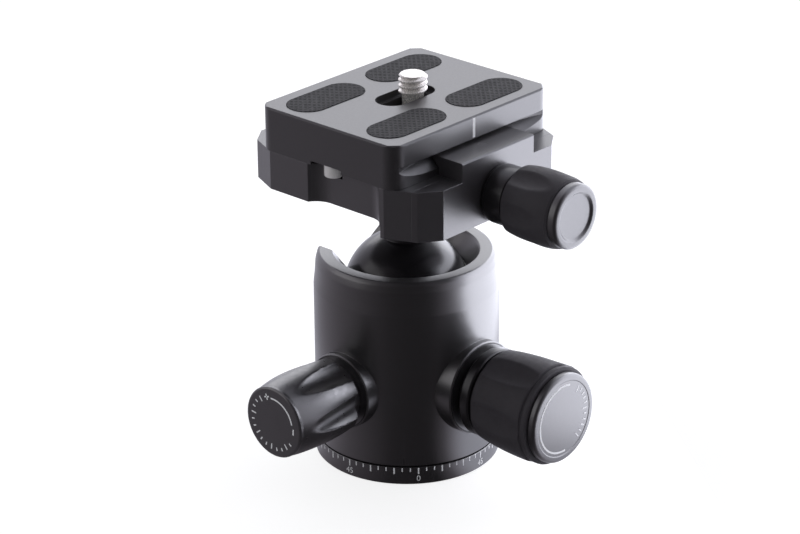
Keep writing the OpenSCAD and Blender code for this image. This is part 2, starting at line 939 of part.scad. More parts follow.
// Plan outline of the whole clamp, each corner cut in two flats
module clamp_outline() {
  corner_x = clamp_half_x - corner_in_x;
  corner_y = clamp_half_y - corner_in_y;
  polygon([
    [clamp_half_x, -clamp_jaw_half], [clamp_half_x, clamp_jaw_half],
    [corner_x, corner_y], [clamp_end_half, clamp_half_y],
    [-clamp_end_half, clamp_half_y], [-corner_x, corner_y],
    [-clamp_half_x, clamp_jaw_half], [-clamp_half_x, -clamp_jaw_half],
    [-corner_x, -corner_y], [-clamp_end_half, -clamp_half_y],
    [clamp_end_half, -clamp_half_y], [corner_x, -corner_y]]);
}

// Plan outline of the hollow with round ends in the clamp's end face
module end_hollow_outline() {
  cutter_y = hollow_depth - hollow_r - clamp_half_y;
  for (x = [hollow_left_x, hollow_right_x])
    translate([x, cutter_y])
      circle(r = hollow_r);
  translate([hollow_left_x, cutter_y - hollow_r])
    square([hollow_right_x - hollow_left_x, 2 * hollow_r]);
}

// Lip of a jaw on the +X side, undercut to hook over the plate's flank
module lip() {
  contact = plate_w / 2 + 0.2;
  inner = dovetail_half + 0.22;
  translate([0, lip_half, 0])
    rotate([90, 0, 0])
      linear_extrude(height = 2 * lip_half)
        polygon([
          [contact, clamp_floor_z - 1], [contact, flank_low_z + 0.15],
          [inner, flank_top_z + 0.13], [inner, lip_top_z - 0.2],
          [inner + 0.2, lip_top_z], [clamp_half_x - 0.3, lip_top_z],
          [clamp_half_x, lip_top_z - 0.3], [clamp_half_x, clamp_floor_z - 1]]);
}

// The deeper part at +X that the clamp screw runs in
module side_block() {
  translate([0, 0, clamp_bottom_z])
    linear_extrude(height = clamp_floor_z - clamp_bottom_z)
      intersection() {
        clamp_outline();
        translate([clamp_step_x, -clamp_half_y])
          square([clamp_half_x, 2 * clamp_half_y]);
      }
}

// The clamp's block below the floor, all one solid
module clamp_block() {
  difference() {
    union() {
      translate([0, 0, clamp_raised_z])
        linear_extrude(height = clamp_floor_z - clamp_raised_z)
          clamp_outline();
      side_block();
      rod(clamp_boss_r, clamp_bottom_z, clamp_raised_z + 1);
    }
    both_ends()
      translate([0, 0, clamp_bottom_z - 1])
        linear_extrude(height = 20)
          end_hollow_outline();
  }
}

// Fixed part of the clamp with the jaw at -X
module clamp_body() {
  color([0.13, 0.13, 0.14])
    difference() {
      union() {
        intersection() {
          clamp_block();
          translate([-beyond, -beyond, 0])
            cube([beyond + jaw_split_x, 2 * beyond, 100]);
        }
        mirror([1, 0, 0])
          lip();
      }
      rod(spigot_r + running, clamp_bottom_z - 1, clamp_bottom_z + spigot_h + 0.1);
      rod(stem_screw_r, clamp_bottom_z, clamp_floor_z + 1);
      rod(stem_head_r, stem_seat_z, clamp_floor_z + 1);
      both_ends()
        translate([-safety_pocket_w / 2, -clamp_half_y - 1, safety_pocket_z])
          cube([safety_pocket_w, safety_pocket_l + 1, 4]);
      on_clamp_axis()
        rod(clamp_screw_r + running, clamp_screw_start - 1, beyond);
      both_ends() {
        translate([0, pin_y, 0])
          on_clamp_axis()
            rod(pin_r, pin_start, beyond);
        translate([0, spring_y, 0])
          on_clamp_axis()
            rod(spring_hole_r, spring_start, beyond);
      }
    }
}

// Screw that holds the clamp on the ball's neck
module stem_screw() {
  color([0.6, 0.6, 0.62])
    difference() {
      union() {
        rod(stem_screw_r, clamp_bottom_z - stem_hole_depth + 0.5, stem_seat_z + 0.1);
        rod(stem_head_r, stem_seat_z, clamp_floor_z - 0.3);
      }
      translate([0, 0, clamp_floor_z - 1.8])
        cylinder(r = 2, h = 3, $fn = 6);
    }
}

// Pins that keep the moving jaw square
module guide_pins() {
  color([0.75, 0.75, 0.78])
    both_ends()
      translate([0, pin_y, 0])
        on_clamp_axis()
          rod(pin_r, pin_start, pin_end);
}

// Springs that push the moving jaw open
module jaw_springs() {
  color([0.8, 0.8, 0.82])
    both_ends()
      translate([0, spring_y, 0])
        on_clamp_axis()
          translate([0, 0, spring_start])
            coil(1.1, 0.3, spring_l, 5);
}

// Moving jaw
module clamp_jaw() {
  color([0.13, 0.13, 0.14])
    difference() {
      union() {
        intersection() {
          clamp_block();
          translate([jaw_split_x + slide_gap, -beyond, 0])
            cube([beyond, 2 * beyond, 100]);
        }
        intersection() {
          lip();
          translate([jaw_split_x + slide_gap, -beyond, 0])
            cube([beyond, 2 * beyond, 100]);
        }
        lip_reach();
      }
      on_clamp_axis()
        rod(clamp_screw_r + running, jaw_split_x - 2, beyond);
      both_ends() {
        translate([0, pin_y, 0])
          on_clamp_axis()
            rod(pin_r + running, jaw_split_x - 2, pin_end + 0.2);
        translate([0, spring_y, 0])
          on_clamp_axis()
            rod(spring_hole_r, jaw_split_x - 2, spring_start + spring_l);
      }
      translate([jaw_dot_x, 0, lip_top_z - 0.2])
        cylinder(r = jaw_dot_r, h = 1);
    }
}

// The part of the moving jaw's lip that reaches over the fixed floor
module lip_reach() {
  intersection() {
    lip();
    translate([0, -beyond, clamp_floor_z + slide_gap])
      cube([jaw_split_x + 1, 2 * beyond, 20]);
  }
}

// Painted dot on the moving jaw's lip
module jaw_dot() {
  color([0.95, 0.95, 0.95])
    translate([jaw_dot_x, 0, lip_top_z - 0.2])
      cylinder(r = jaw_dot_r, h = 0.2);
}

// Clamp screw
module clamp_screw() {
  color([0.75, 0.75, 0.78])
    on_clamp_axis()
      rod(clamp_screw_r, clamp_screw_start, clamp_grip_end - 3);
}

// Collar and core of the clamp knob
module clamp_hub() {
  color([0.1, 0.1, 0.11])
    on_clamp_axis()
      difference() {
        union() {
          rod(clamp_collar_r - 0.4, clamp_half_x + slide_gap, clamp_half_x + 1);
          rod(clamp_collar_r, clamp_half_x + 0.8, clamp_grip_start - 0.6);
          rod(clamp_collar_r - 0.6, clamp_grip_start - 0.7, clamp_grip_start + eps);
          rod(clamp_core_r, clamp_grip_start, clamp_grip_end);
        }
        rod(clamp_screw_r, clamp_half_x - 1, clamp_grip_end - 3);
      }
}

// Rubber grip of the clamp knob
module clamp_grip() {
  color([0.08, 0.08, 0.09])
    on_clamp_axis()
      difference() {
        rotate_extrude()
          barrel_profile(clamp_knob_r, 39.2, 24, clamp_grip_start, clamp_grip_end);
        rod(clamp_core_r, clamp_grip_start - 1, clamp_grip_end + 1);
        flutes(scallops, clamp_knob_r - 0.4, 0.8, 6, 4, clamp_grip_start, 30);
      }
}

// Dished cap of the clamp knob
module clamp_cap() {
  color([0.7, 0.7, 0.73])
    on_clamp_axis()
      difference() {
        rotate_extrude()
          difference() {
            translate([0, clamp_grip_end])
              square([clamp_cap_r, 2.2]);
            difference() {
              translate([clamp_cap_r - 1, clamp_grip_end + 1.2])
                square(1.1);
              translate([clamp_cap_r - 1, clamp_grip_end + 1.2])
                circle(r = 1, $fn = 48);
            }
          }
        translate([0, 0, clamp_grip_end + 1.7])
          cylinder(r1 = clamp_cap_r - 2.1, r2 = clamp_cap_r - 1.3, h = 0.6);
      }
}

// ---------- plate ----------

// Plan outline of the plate
module plate_outline() {
  half_w = plate_w / 2 - plate_corner_r;
  half_l = plate_l / 2 - plate_corner_r;
  square([plate_w, 2 * half_l], center = true);
  square([2 * half_w, plate_l], center = true);
  for (sx = [-1, 1])
    for (sy = [-1, 1])
      translate([sx * half_w, sy * half_l])
        circle(r = plate_corner_r);
}

// Slanted cuts that break the plate's top edges all round
module plate_edge_cuts() {
  edge = 0.35;
  diagonal = sqrt(2) * plate_corner_r - plate_corner_r;
  for (turn = [0, 180])
    rotate([0, 0, turn]) {
      edge_cut(plate_w / 2, edge);
      rotate([0, 0, 90])
        edge_cut(plate_l / 2, edge);
    }
  for (sx = [-1, 1])
    for (sy = [-1, 1])
      translate([sx * plate_w / 2, sy * plate_l / 2, 0])
        rotate([0, 0, atan2(sy, sx)])
          edge_cut(-diagonal, edge);
}

// One slanted cut along a line at a distance in X
module edge_cut(distance, edge) {
  translate([distance - edge, 0, plate_top_z])
    rotate([0, 45, 0])
      translate([0, -40, 0])
        cube([6, 80, 6]);
}

// Dovetail groove to cut from the plate's +X side. The straight part goes a hair
// deeper than the round run-outs.
module groove_cut() {
  axis_x = dovetail_half + groove_cutter_r;
  hair = 0.03;
  low_r = groove_cutter_r - flank_drop;
  for (side = [-1, 1])
    translate([axis_x + hair, side * groove_half, 0])
      rotate_extrude($fn = 180)
        polygon([
          [0, flank_low_z], [low_r, flank_low_z], [groove_cutter_r, flank_top_z],
          [groove_cutter_r, slab_z], [0, slab_z]]);
  translate([0, groove_half, 0])
    rotate([90, 0, 0])
      linear_extrude(height = 2 * groove_half)
        polygon([
          [axis_x, flank_low_z], [dovetail_half + flank_drop, flank_low_z],
          [dovetail_half, flank_top_z], [dovetail_half, slab_z], [axis_x, slab_z]]);
}

// A pad's place on the plate
module at_pads() {
  for (sx = [-1, 1])
    for (sy = [-1, 1])
      translate([sx * pad_x, sy * pad_y])
        children();
}

// Quick-release plate
module plate() {
  color([0.2, 0.2, 0.22])
    difference() {
      translate([0, 0, plate_bottom_z])
        linear_extrude(height = plate_top_z - plate_bottom_z)
          plate_outline();
      plate_edge_cuts();
      groove_cut();
      mirror([1, 0, 0])
        groove_cut();
      translate([0, 0, plate_top_z - 0.8])
        linear_extrude(height = 2)
          at_pads()
            stadium(pad_w, pad_l);
      translate([0, 0, pocket_top_z - 1])
        linear_extrude(height = 10)
          stadium(slot_w, slot_l);
      translate([0, 0, plate_top_z - 1.6])
        linear_extrude(height = 4)
          stadium(slot_recess_w, slot_l + slot_recess_w - slot_w);
      translate([0, 0, plate_bottom_z - 1])
        linear_extrude(height = pocket_top_z - plate_bottom_z + 1)
          stadium(pocket_w, slot_l + 7);
      both_ends()
        translate([0, safety_y, 0]) {
          rod(safety_shank_r, plate_bottom_z - 1, pocket_top_z);
          rod(safety_recess_r, plate_bottom_z - 1, safety_seat_z);
        }
      translate([plate_w / 2 - 0.15, -0.4, slab_z + 0.25])
        cube([1, 0.8, plate_top_z - slab_z - 0.6]);
    }
}

// White alignment line on the plate's side
module plate_mark() {
  color([0.95, 0.95, 0.95])
    translate([plate_w / 2 - 0.15, -0.4, slab_z + 0.25])
      cube([0.15, 0.8, plate_top_z - slab_z - 0.6]);
}

// Rubber pads in the plate's top
module pads() {
  color([0.1, 0.1, 0.1])
    translate([0, 0, plate_top_z - 0.8])
      linear_extrude(height = 0.8 + pad_rise)
        at_pads()
          stadium(pad_w, pad_l);
}

// Screws under the plate's ends that stop it sliding out of the clamp
module safety_screws() {
  color([0.8, 0.8, 0.82])
    both_ends()
      translate([0, safety_y, 0])
        difference() {
          union() {
            rod(safety_head_r, safety_head_z, safety_seat_z);
            rod(safety_shank_r, safety_head_z + 1, pocket_top_z - 0.5);
          }
          translate([0, 0, safety_head_z - 1])
            cylinder(r = 0.9, h = 2.6, $fn = 6);
        }
}

// Slider under the plate's slot that keeps the camera screw captive
module screw_slider() {
  color([0.3, 0.3, 0.32])
    translate([0, camera_screw_y, 0])
      difference() {
        translate([0, 0, pocket_top_z - 0.9])
          linear_extrude(height = 0.9 - slide_gap)
            stadium(pocket_w - 0.6, slider_l);
        rod(shank_r + running, pocket_top_z - 2, pocket_top_z + 1);
      }
}

// Camera screw with its slotted head under the plate
module camera_screw() {
  color([0.8, 0.8, 0.82])
    translate([0, camera_screw_y, 0])
      difference() {
        union() {
          rod(4.9, pocket_top_z - 3.4, pocket_top_z - 0.9 - slide_gap);
          rod(shank_r, pocket_top_z - 1, plate_top_z + 0.3);
          rod(camera_thread_r, plate_top_z + 0.2, camera_screw_top_z - 0.4);
          translate([0, 0, camera_screw_top_z - 0.4])
            cylinder(r1 = camera_thread_r, r2 = camera_thread_r - 0.4, h = 0.4);
        }
        translate([-6, -0.7, pocket_top_z - 4])
          cube([12, 1.4, 1.8]);
      }
}

pan_base();
scale_marks();
thread_insert();
thrust_washer();
retaining_nut();
housing();
bearing_plate();
bearing_screws();
wedge_floor();
upper_seat();
cup_springs();
friction_bush();
pan_bush();
ball_cup();
lock_wedge();
lock_spindle();
lock_clip();
lock_washer();
lock_hub();
lock_grip();
lock_cap();
friction_plunger();
friction_spindle();
friction_knob();
friction_marks();
pan_shoe();
pan_spindle();
pan_knob();
pan_cap();
ball();
clamp_body();
stem_screw();
guide_pins();
jaw_springs();
clamp_jaw();
jaw_dot();
clamp_screw();
clamp_hub();
clamp_grip();
clamp_cap();
plate();
plate_mark();
pads();
safety_screws();
screw_slider();
camera_screw();
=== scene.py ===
"""Dresses the ball head's frame: finishes, knobs, plate, screws, scale, lights and camera."""
import json
import math

import bmesh
import bpy
from mathutils import Matrix, Vector


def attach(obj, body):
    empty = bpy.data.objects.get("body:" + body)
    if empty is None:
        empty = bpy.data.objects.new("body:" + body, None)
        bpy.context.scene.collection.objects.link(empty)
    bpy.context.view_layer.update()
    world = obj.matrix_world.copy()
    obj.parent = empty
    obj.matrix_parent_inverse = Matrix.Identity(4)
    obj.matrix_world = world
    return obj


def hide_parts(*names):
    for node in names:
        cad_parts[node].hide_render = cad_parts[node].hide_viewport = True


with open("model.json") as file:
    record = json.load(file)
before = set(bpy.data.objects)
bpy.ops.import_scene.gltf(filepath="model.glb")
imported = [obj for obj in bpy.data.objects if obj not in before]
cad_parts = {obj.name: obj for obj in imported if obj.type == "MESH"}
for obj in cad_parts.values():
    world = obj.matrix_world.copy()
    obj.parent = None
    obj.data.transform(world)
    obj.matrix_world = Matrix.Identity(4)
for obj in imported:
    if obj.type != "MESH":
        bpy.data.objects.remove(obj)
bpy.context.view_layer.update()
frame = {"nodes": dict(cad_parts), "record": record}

MM = 0.001
TAU = 2 * math.pi

# ---------------------------------------------------------------- sizes, in mm and degrees

# As in the part's source, with its clearances added. Heights are above the table.
BASE_R, BASE_H, SEAM = 20.6, 4.24, 0.26
HOUSING_R, HOUSING_TOP = 20.5, 47.9
BORE_R, BORE_START, BORE_END = 14.8, 10.4, 43.0
BEARING_R = 18.02
BALL_R, BALL_Z, NECK_R = 13.93, 38.2, 5.1
CLAMP_BOTTOM, CLAMP_SCREW_Z = 62.65, 68.3
PLATE_TOP, CAMERA_SCREW_Y, SAFETY_SCREW_Y = 83.64, 2.5, 22.5
PAD_W, PAD_L, PAD_X, PAD_Y = 9.4, 20.4, 11.7, 12.4
SCALE_ZERO, INDEX_ANGLE = -41.0, -50.0

# BOSS_FACE and KNOB_START lie along a knob's axis: the boss's end, and the knob's, in front of it.
KNOB_Z, PAN_LOCK_Z, PAN_LOCK_TURN = 20.9, 10, 120
BOSS_FACE, KNOB_START = 22.2, 22.24
LOCK_BOSS_R, FRICTION_BOSS_R, PAN_BOSS_R = 10.5, 8.6, 5.4

# A painted mark's height, and how much of it is sunk into its face.
MARK_H, MARK_SUNK = 0.09, 0.05

# Frames of the four knobs: local +Z runs outwards along the knob's axis.
ALONG_X = Matrix.Rotation(math.pi / 2, 4, "Y")
ON_LOCK = Matrix.Translation((0, 0, KNOB_Z)) @ ALONG_X
ON_FRICTION = Matrix.Translation((0, 0, KNOB_Z)) @ Matrix.Rotation(math.pi / 2, 4, "X")
ON_CLAMP = Matrix.Translation((0, 0, CLAMP_SCREW_Z)) @ ALONG_X
ON_PAN = (
    Matrix.Rotation(math.radians(PAN_LOCK_TURN), 4, "Z")
    @ Matrix.Translation((0, 0, PAN_LOCK_Z))
    @ ALONG_X
)

# ---------------------------------------------------------------- materials


class Nodes:
    """A material under construction, with helpers for the nodes that the finishes share."""

    def __init__(self, name):
        self.mat = bpy.data.materials.new(name)
        self.mat.use_nodes = True
        self.tree = self.mat.node_tree
        self.tree.nodes.clear()
        self.out = self.add("ShaderNodeOutputMaterial")
        self.bsdf = self.add("ShaderNodeBsdfPrincipled")
        self.link(self.bsdf.outputs[0], self.out.inputs[0])

    def add(self, kind, **values):
        """A new node, with its properties or its inputs' values."""
        node = self.tree.nodes.new(kind)
        for key, value in values.items():
            if hasattr(node, key):
                setattr(node, key, value)
            else:
                node.inputs[key.replace("_", " ")].default_value = value
        return node

    def link(self, a, b):
        self.tree.links.new(a, b)

    def set(self, **values):
        """Sets the shader's own sockets."""
        for key, value in values.items():
            self.bsdf.inputs[key.replace("_", " ")].default_value = value

    def noise(self, scale, detail=3.0, stretch=None):
        """Noise in the object's own coordinates, its scale in cells per metre."""
        place = self.add("ShaderNodeTexCoord")
        node = self.add("ShaderNodeTexNoise", Scale=scale, Detail=detail, Roughness=0.6)
        if stretch:
            mapping = self.add("ShaderNodeMapping")
            mapping.inputs["Scale"].default_value = stretch
            self.link(place.outputs["Object"], mapping.inputs["Vector"])
            self.link(mapping.outputs[0], node.inputs["Vector"])
        else:
            self.link(place.outputs["Object"], node.inputs["Vector"])
        return node.outputs["Fac"]

    def spread(self, value, low, high, start=0.3, end=0.7):
        """Maps the value's range from start to end onto low to high."""
        node = self.add("ShaderNodeMapRange")
        node.inputs["From Min"].default_value = start
        node.inputs["From Max"].default_value = end
        node.inputs["To Min"].default_value = low
        node.inputs["To Max"].default_value = high
        self.link(value, node.inputs["Value"])
        return node.outputs[0]

    def colours(self, value, low, high, start=0.3, end=0.7):
        """Base colour between two tones."""
        ramp = self.add("ShaderNodeValToRGB")
        ramp.color_ramp.elements[0].position = start
        ramp.color_ramp.elements[0].color = (*low, 1)
        ramp.color_ramp.elements[1].position = end
        ramp.color_ramp.elements[1].color = (*high, 1)
        self.link(value, ramp.inputs["Fac"])
        self.link(ramp.outputs["Color"], self.bsdf.inputs["Base Color"])
        return ramp

    def rough(self, value, low, high):
        """Roughness that varies between two values."""
        self.link(self.spread(value, low, high), self.bsdf.inputs["Roughness"])

    def bump(self, height, distance, strength, edge=0.0):
        """A bump of a depth in metres, and rounded edges of a radius where one is given."""
        node = self.add("ShaderNodeBump", Strength=strength, Distance=distance)
        self.link(height, node.inputs["Height"])
        if edge:
            bevel = self.add("ShaderNodeBevel", samples=4)
            bevel.inputs["Radius"].default_value = edge
            self.link(bevel.outputs[0], node.inputs["Normal"])
        self.link(node.outputs[0], self.bsdf.inputs["Normal"])

    def worn_edges(self, ramp, colour, amount):
        """Lightens the sharp edges a little, broken up by noise."""
        geo = self.add("ShaderNodeNewGeometry")
        edge = self.spread(geo.outputs["Pointiness"], 0, amount, start=0.52, end=0.6)
        broken = self.add("ShaderNodeMath", operation="MULTIPLY")
        self.link(edge, broken.inputs[0])
        self.link(self.spread(self.noise(900), 0.2, 1), broken.inputs[1])
        mix = self.add("ShaderNodeMix", data_type="RGBA")
        factor, colour_a, colour_b, mixed = mix.inputs[0], mix.inputs[6], mix.inputs[7], mix.outputs[2]
        self.link(broken.outputs[0], factor)
        self.link(ramp.outputs["Color"], colour_a)
        colour_b.default_value = (*colour, 1)
        self.link(mixed, self.bsdf.inputs["Base Color"])


def anodised(name, dark, light, rough, index, depth=4e-6, edge=0.00022, worn=True):
    """Satin black anodised aluminium with a fine blasted grain and faintly worn edges."""
    m = Nodes(name)
    ramp = m.colours(m.noise(2600, 4), dark, light)
    if worn:
        m.worn_edges(ramp, (0.03, 0.028, 0.031), 0.4)
    m.rough(m.noise(1900), rough - 0.02, rough + 0.03)
    m.set(Metallic=0.0, IOR=index)
    m.bump(m.noise(9000, 2), depth, 0.5, edge)
    return m.mat


def metal(name, dark, light, rough, metallic=1.0, grain=(1, 1, 1)):
    """Bare or clear-anodised metal, brushed along one direction where the grain is stretched."""
    m = Nodes(name)
    m.colours(m.noise(300, 4), dark, light)
    m.rough(m.noise(2500, stretch=grain), rough - 0.07, rough + 0.08)
    m.set(Metallic=metallic)
    m.bump(m.noise(2500, stretch=grain), 3e-6, 0.5, edge=0.00015)
    return m.mat


def rubbery(name, dark, light, rough, depth=8e-6, specular=0.4, index=1.5):
    """Matt moulded rubber or plastic with a fine stipple."""
    m = Nodes(name)
    m.colours(m.noise(180, 4), dark, light)
    m.rough(m.noise(900), rough - 0.06, rough + 0.06)
    m.set(Specular_IOR_Level=specular, IOR=index)
    m.bump(m.noise(5000), depth, 0.7)
    return m.mat


def woven(name):
    """Dark pad rubber with a fine diagonal weave pressed into it."""
    m = Nodes(name)
    place = m.add("ShaderNodeTexCoord")
    waves = []
    for turn in (45, -45):
        mapping = m.add("ShaderNodeMapping")
        mapping.inputs["Rotation"].default_value = (0, 0, math.radians(turn))
        m.link(place.outputs["Object"], mapping.inputs["Vector"])
        wave = m.add("ShaderNodeTexWave", wave_type="BANDS", bands_direction="X", Scale=320, Distortion=0.0)
        m.link(mapping.outputs[0], wave.inputs["Vector"])
        waves.append(wave.outputs["Fac"])
    both = m.add("ShaderNodeMath", operation="MAXIMUM")
    m.link(waves[0], both.inputs[0])
    m.link(waves[1], both.inputs[1])
    fine = m.add("ShaderNodeMath", operation="MULTIPLY_ADD")
    m.link(m.noise(4000), fine.inputs[0])
    fine.inputs[1].default_value = 0.25
    m.link(both.outputs[0], fine.inputs[2])
    m.colours(both.outputs[0], (0.004, 0.0038, 0.0042), (0.028, 0.0265, 0.0295), 0.35, 0.95)
    m.rough(m.noise(1200), 0.56, 0.7)
    m.set(Specular_IOR_Level=0.22)
    m.bump(fine.outputs[0], 1e-4, 0.9)
    return m.mat


def painted(name, colour):
    """Marking paint, slightly uneven."""
    m = Nodes(name)
    m.colours(m.noise(1500), tuple(c * 0.9 for c in colour), colour)
    m.rough(m.noise(2000), 0.4, 0.6)
    m.bump(m.noise(6000), 3e-6, 0.5)
    return m.mat


BLACK = anodised("housing_black", (0.0064, 0.0055, 0.0066), (0.0096, 0.0083, 0.0098), 0.32, 2.6)
CLAMP_BLACK = anodised("clamp_black", (0.026, 0.0233, 0.0266), (0.031, 0.028, 0.032), 0.34, 2.2)
PLATE_BLACK = anodised("plate_black", (0.0125, 0.011, 0.0128), (0.0175, 0.0157, 0.0178), 0.36, 2.05)
BALL_BLACK = anodised(
    "ball_black", (0.0064, 0.0056, 0.0066), (0.0088, 0.0076, 0.009), 0.24, 1.65, edge=0.0, worn=False
)
HUB_BLACK = anodised(
    "hub_metal", (0.006, 0.0052, 0.0062), (0.008, 0.007, 0.0082), 0.3, 1.65, depth=1.5e-6, worn=False
)
CAP_BLACK = anodised(
    "cap_black", (0.012, 0.0108, 0.0124), (0.017, 0.0153, 0.0175), 0.36, 2.35, edge=0.0, worn=False
)
RUBBER = rubbery("knob_rubber", (0.04, 0.0362, 0.041), (0.046, 0.0416, 0.0472), 0.57, specular=0.28)
KNOB_PLASTIC = rubbery(
    "knob_plastic", (0.017, 0.0152, 0.0175), (0.022, 0.0198, 0.0226), 0.33, 3e-6, specular=0.7, index=2.1
)
NYLON = rubbery("white_plastic", (0.7, 0.69, 0.65), (0.8, 0.79, 0.75), 0.45)
PAD = woven("pad_rubber")
STEEL = metal("steel", (0.86, 0.82, 0.78), (0.95, 0.915, 0.875), 0.27, metallic=0.5)
NICKEL = metal("nickel", (0.7, 0.68, 0.67), (0.8, 0.78, 0.77), 0.36, metallic=0.3)
BRASS = metal("brass", (0.55, 0.4, 0.18), (0.68, 0.52, 0.25), 0.3)
ALUMINIUM = metal("bare_aluminium", (0.55, 0.55, 0.57), (0.7, 0.7, 0.72), 0.34, grain=(1, 1, 12))
WHITE = painted("white_paint", (0.86, 0.86, 0.87))
GREY_PAINT = painted("grey_paint", (0.16, 0.155, 0.165))

SLOT_MATERIAL = {
    "black_anodised": BLACK,
    "clamp_black": CLAMP_BLACK,
    "plate_black": PLATE_BLACK,
    "ball_black": BALL_BLACK,
    "white_paint": WHITE,
    "steel": STEEL,
    "brass": BRASS,
    "bare_aluminium": ALUMINIUM,
    "white_plastic": NYLON,
    "knob_metal": HUB_BLACK,
    "knob_rubber": RUBBER,
    "knob_black": KNOB_PLASTIC,
    "cap_black": CAP_BLACK,
    "pad_rubber": PAD,
}


def dress_nodes():
    """Gives every CAD node its slot's finish."""
    for part in frame["record"]["subparts"]:
        mesh = frame["nodes"][part["node"]].data
        mesh.materials.clear()
        mesh.materials.append(SLOT_MATERIAL[part["material_slot"]])
        mesh.shade_smooth()
        mesh.set_sharp_from_angle(angle=math.radians(30))
    frame["nodes"]["jaw_dot"].data.materials[0] = GREY_PAINT


# ---------------------------------------------------------------- mesh tools


def finish_piece(name, bm, matrix, material, body, nodes=()):
    """Turns a bmesh in millimetres into a named piece that rides on a body."""
    bmesh.ops.recalc_face_normals(bm, faces=bm.faces)
    mesh = bpy.data.meshes.new(name)
    bm.to_mesh(mesh)
    bm.free()
    mesh.transform(Matrix.Scale(MM, 4) @ matrix)
    mesh.materials.append(material)
    mesh.shade_smooth()
    mesh.set_sharp_from_angle(angle=math.radians(35))
    piece = bpy.data.objects.new(name, mesh)
    bpy.context.scene.collection.objects.link(piece)
    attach(piece, body)
    if nodes:
        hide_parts(*nodes)


def rounded(corners, steps=6):
    """A profile whose corners (r, z, radius) are rounded with arcs. Its two ends stay as given."""
    points = []
    last = len(corners) - 1
    for i, (r, z, radius) in enumerate(corners):
        here = Vector((r, z))
        if radius <= 0 or i in (0, last):
            points.append((r, z))
            continue
        before = Vector(corners[i - 1][:2]) - here
        after = Vector(corners[i + 1][:2]) - here
        angle = before.angle(after)
        longest = 0.49 * min(before.length, after.length)
        reach = min(radius / math.tan(angle / 2), longest)
        true_radius = reach * math.tan(angle / 2)
        bisector = (before.normalized() + after.normalized()).normalized()
        centre = here + bisector * (true_radius / math.sin(angle / 2))
        start = here + before.normalized() * reach - centre
        end = here + after.normalized() * reach - centre
        turn = start.angle_signed(end)
        for k in range(steps + 1):
            a = -turn * k / steps
            points.append(
                (
                    centre.x + start.x * math.cos(a) - start.y * math.sin(a),
                    centre.y + start.x * math.sin(a) + start.y * math.cos(a),
                )
            )
    return points


def barrel(r_max, z_max, curve_r, z0, z1, steps):
    """Points of a barrel's bulging side, widest at z_max."""
    points = []
    for k in range(steps + 1):
        z = z0 + (z1 - z0) * k / steps
        points.append((r_max - curve_r + math.sqrt(curve_r**2 - (z - z_max) ** 2), z))
    return points


def spin(profile, around=160, radius_at=None, closed=False):
    """A surface of revolution. Ends on the axis are closed with a point."""
    bm = bmesh.new()
    rings = []
    for r, z in profile:
        if r < 1e-6:
            rings.append([bm.verts.new((0, 0, z))])
            continue
        ring = []
        for k in range(around):
            a = TAU * k / around
            rr = radius_at(r, z, a) if radius_at else r
            ring.append(bm.verts.new((rr * math.cos(a), rr * math.sin(a), z)))
        rings.append(ring)
    pairs = list(zip(rings, rings[1:]))
    if closed:
        pairs.append((rings[-1], rings[0]))
    for low, high in pairs:
        if len(low) == 1 and len(high) == 1:
            continue
        for k in range(around):
            n = (k + 1) % around
            if len(low) == 1:
                bm.faces.new((low[0], high[n], high[k]))
            elif len(high) == 1:
                bm.faces.new((low[k], low[n], high[0]))
            else:
                bm.faces.new((low[k], low[n], high[n], high[k]))
    return bm


def soft_min(a, b, k):
    """Smooth minimum of two lengths."""
    h = max(0.0, min(1.0, 0.5 + 0.5 * (b - a) / k))
    return b * (1 - h) + a * h - k * h * (1 - h)


def fluted(count, r_surface, depth, cutter_r, lean, z_low, turn, soft):
    """Radius function of a grip with long flutes that run out towards its outer end."""

    def radius(r, z, angle):
        step = TAU / count
        off = (angle - math.radians(turn) + step / 2) % step - step / 2
        axis = r_surface - depth + cutter_r + (z - z_low) * math.tan(math.radians(lean))
        reach = cutter_r**2 - (axis * math.sin(off)) ** 2
        if reach <= 0:
            return r
        return soft_min(r, axis * math.cos(off) - math.sqrt(reach), soft)

    return radius


def stadium(width, length, steps=32):
    """Points round a stadium, long in Y."""
    r = width / 2
    points = []
    for side, start in ((1, 0), (-1, math.pi)):
        for k in range(steps + 1):
            a = math.pi * k / steps + start
            points.append((r * math.cos(a), side * (length - width) / 2 + r * math.sin(a)))
    return points


def slab(outline, z0, z1, edge=0.0):
    """An extruded outline, with rounded upper and lower edges where a radius is given."""
    bm = bmesh.new()
    low = [bm.verts.new((x, y, z0)) for x, y in outline]
    high = [bm.verts.new((x, y, z1)) for x, y in outline]
    bm.faces.new(low[::-1])
    bm.faces.new(high)
    n = len(outline)
    for k in range(n):
        j = (k + 1) % n
        bm.faces.new((low[k], low[j], high[j], high[k]))
    if edge:
        rims = [e for e in bm.edges if abs(e.verts[0].co.z - e.verts[1].co.z) < 1e-6]
        bmesh.ops.bevel(bm, geom=rims, offset=edge, segments=3, profile=0.5, affect="EDGES")
    return bm


def joined(*parts):
    """Several bmeshes as one."""
    bm = bmesh.new()
    for part in parts:
        mesh = bpy.data.meshes.new("part")
        part.to_mesh(mesh)
        part.free()
        bm.from_mesh(mesh)
        bpy.data.meshes.remove(mesh)
    return bm


def moved(bm, matrix):
    """The bmesh in another place."""
    bmesh.ops.transform(bm, matrix=matrix, verts=bm.verts)
    return bm


def plug(r, z0, z1, around=144):
    """A plain solid cylinder about Z."""
    return spin([(0, z0), (r, z0), (r, z1), (0, z1)], around)


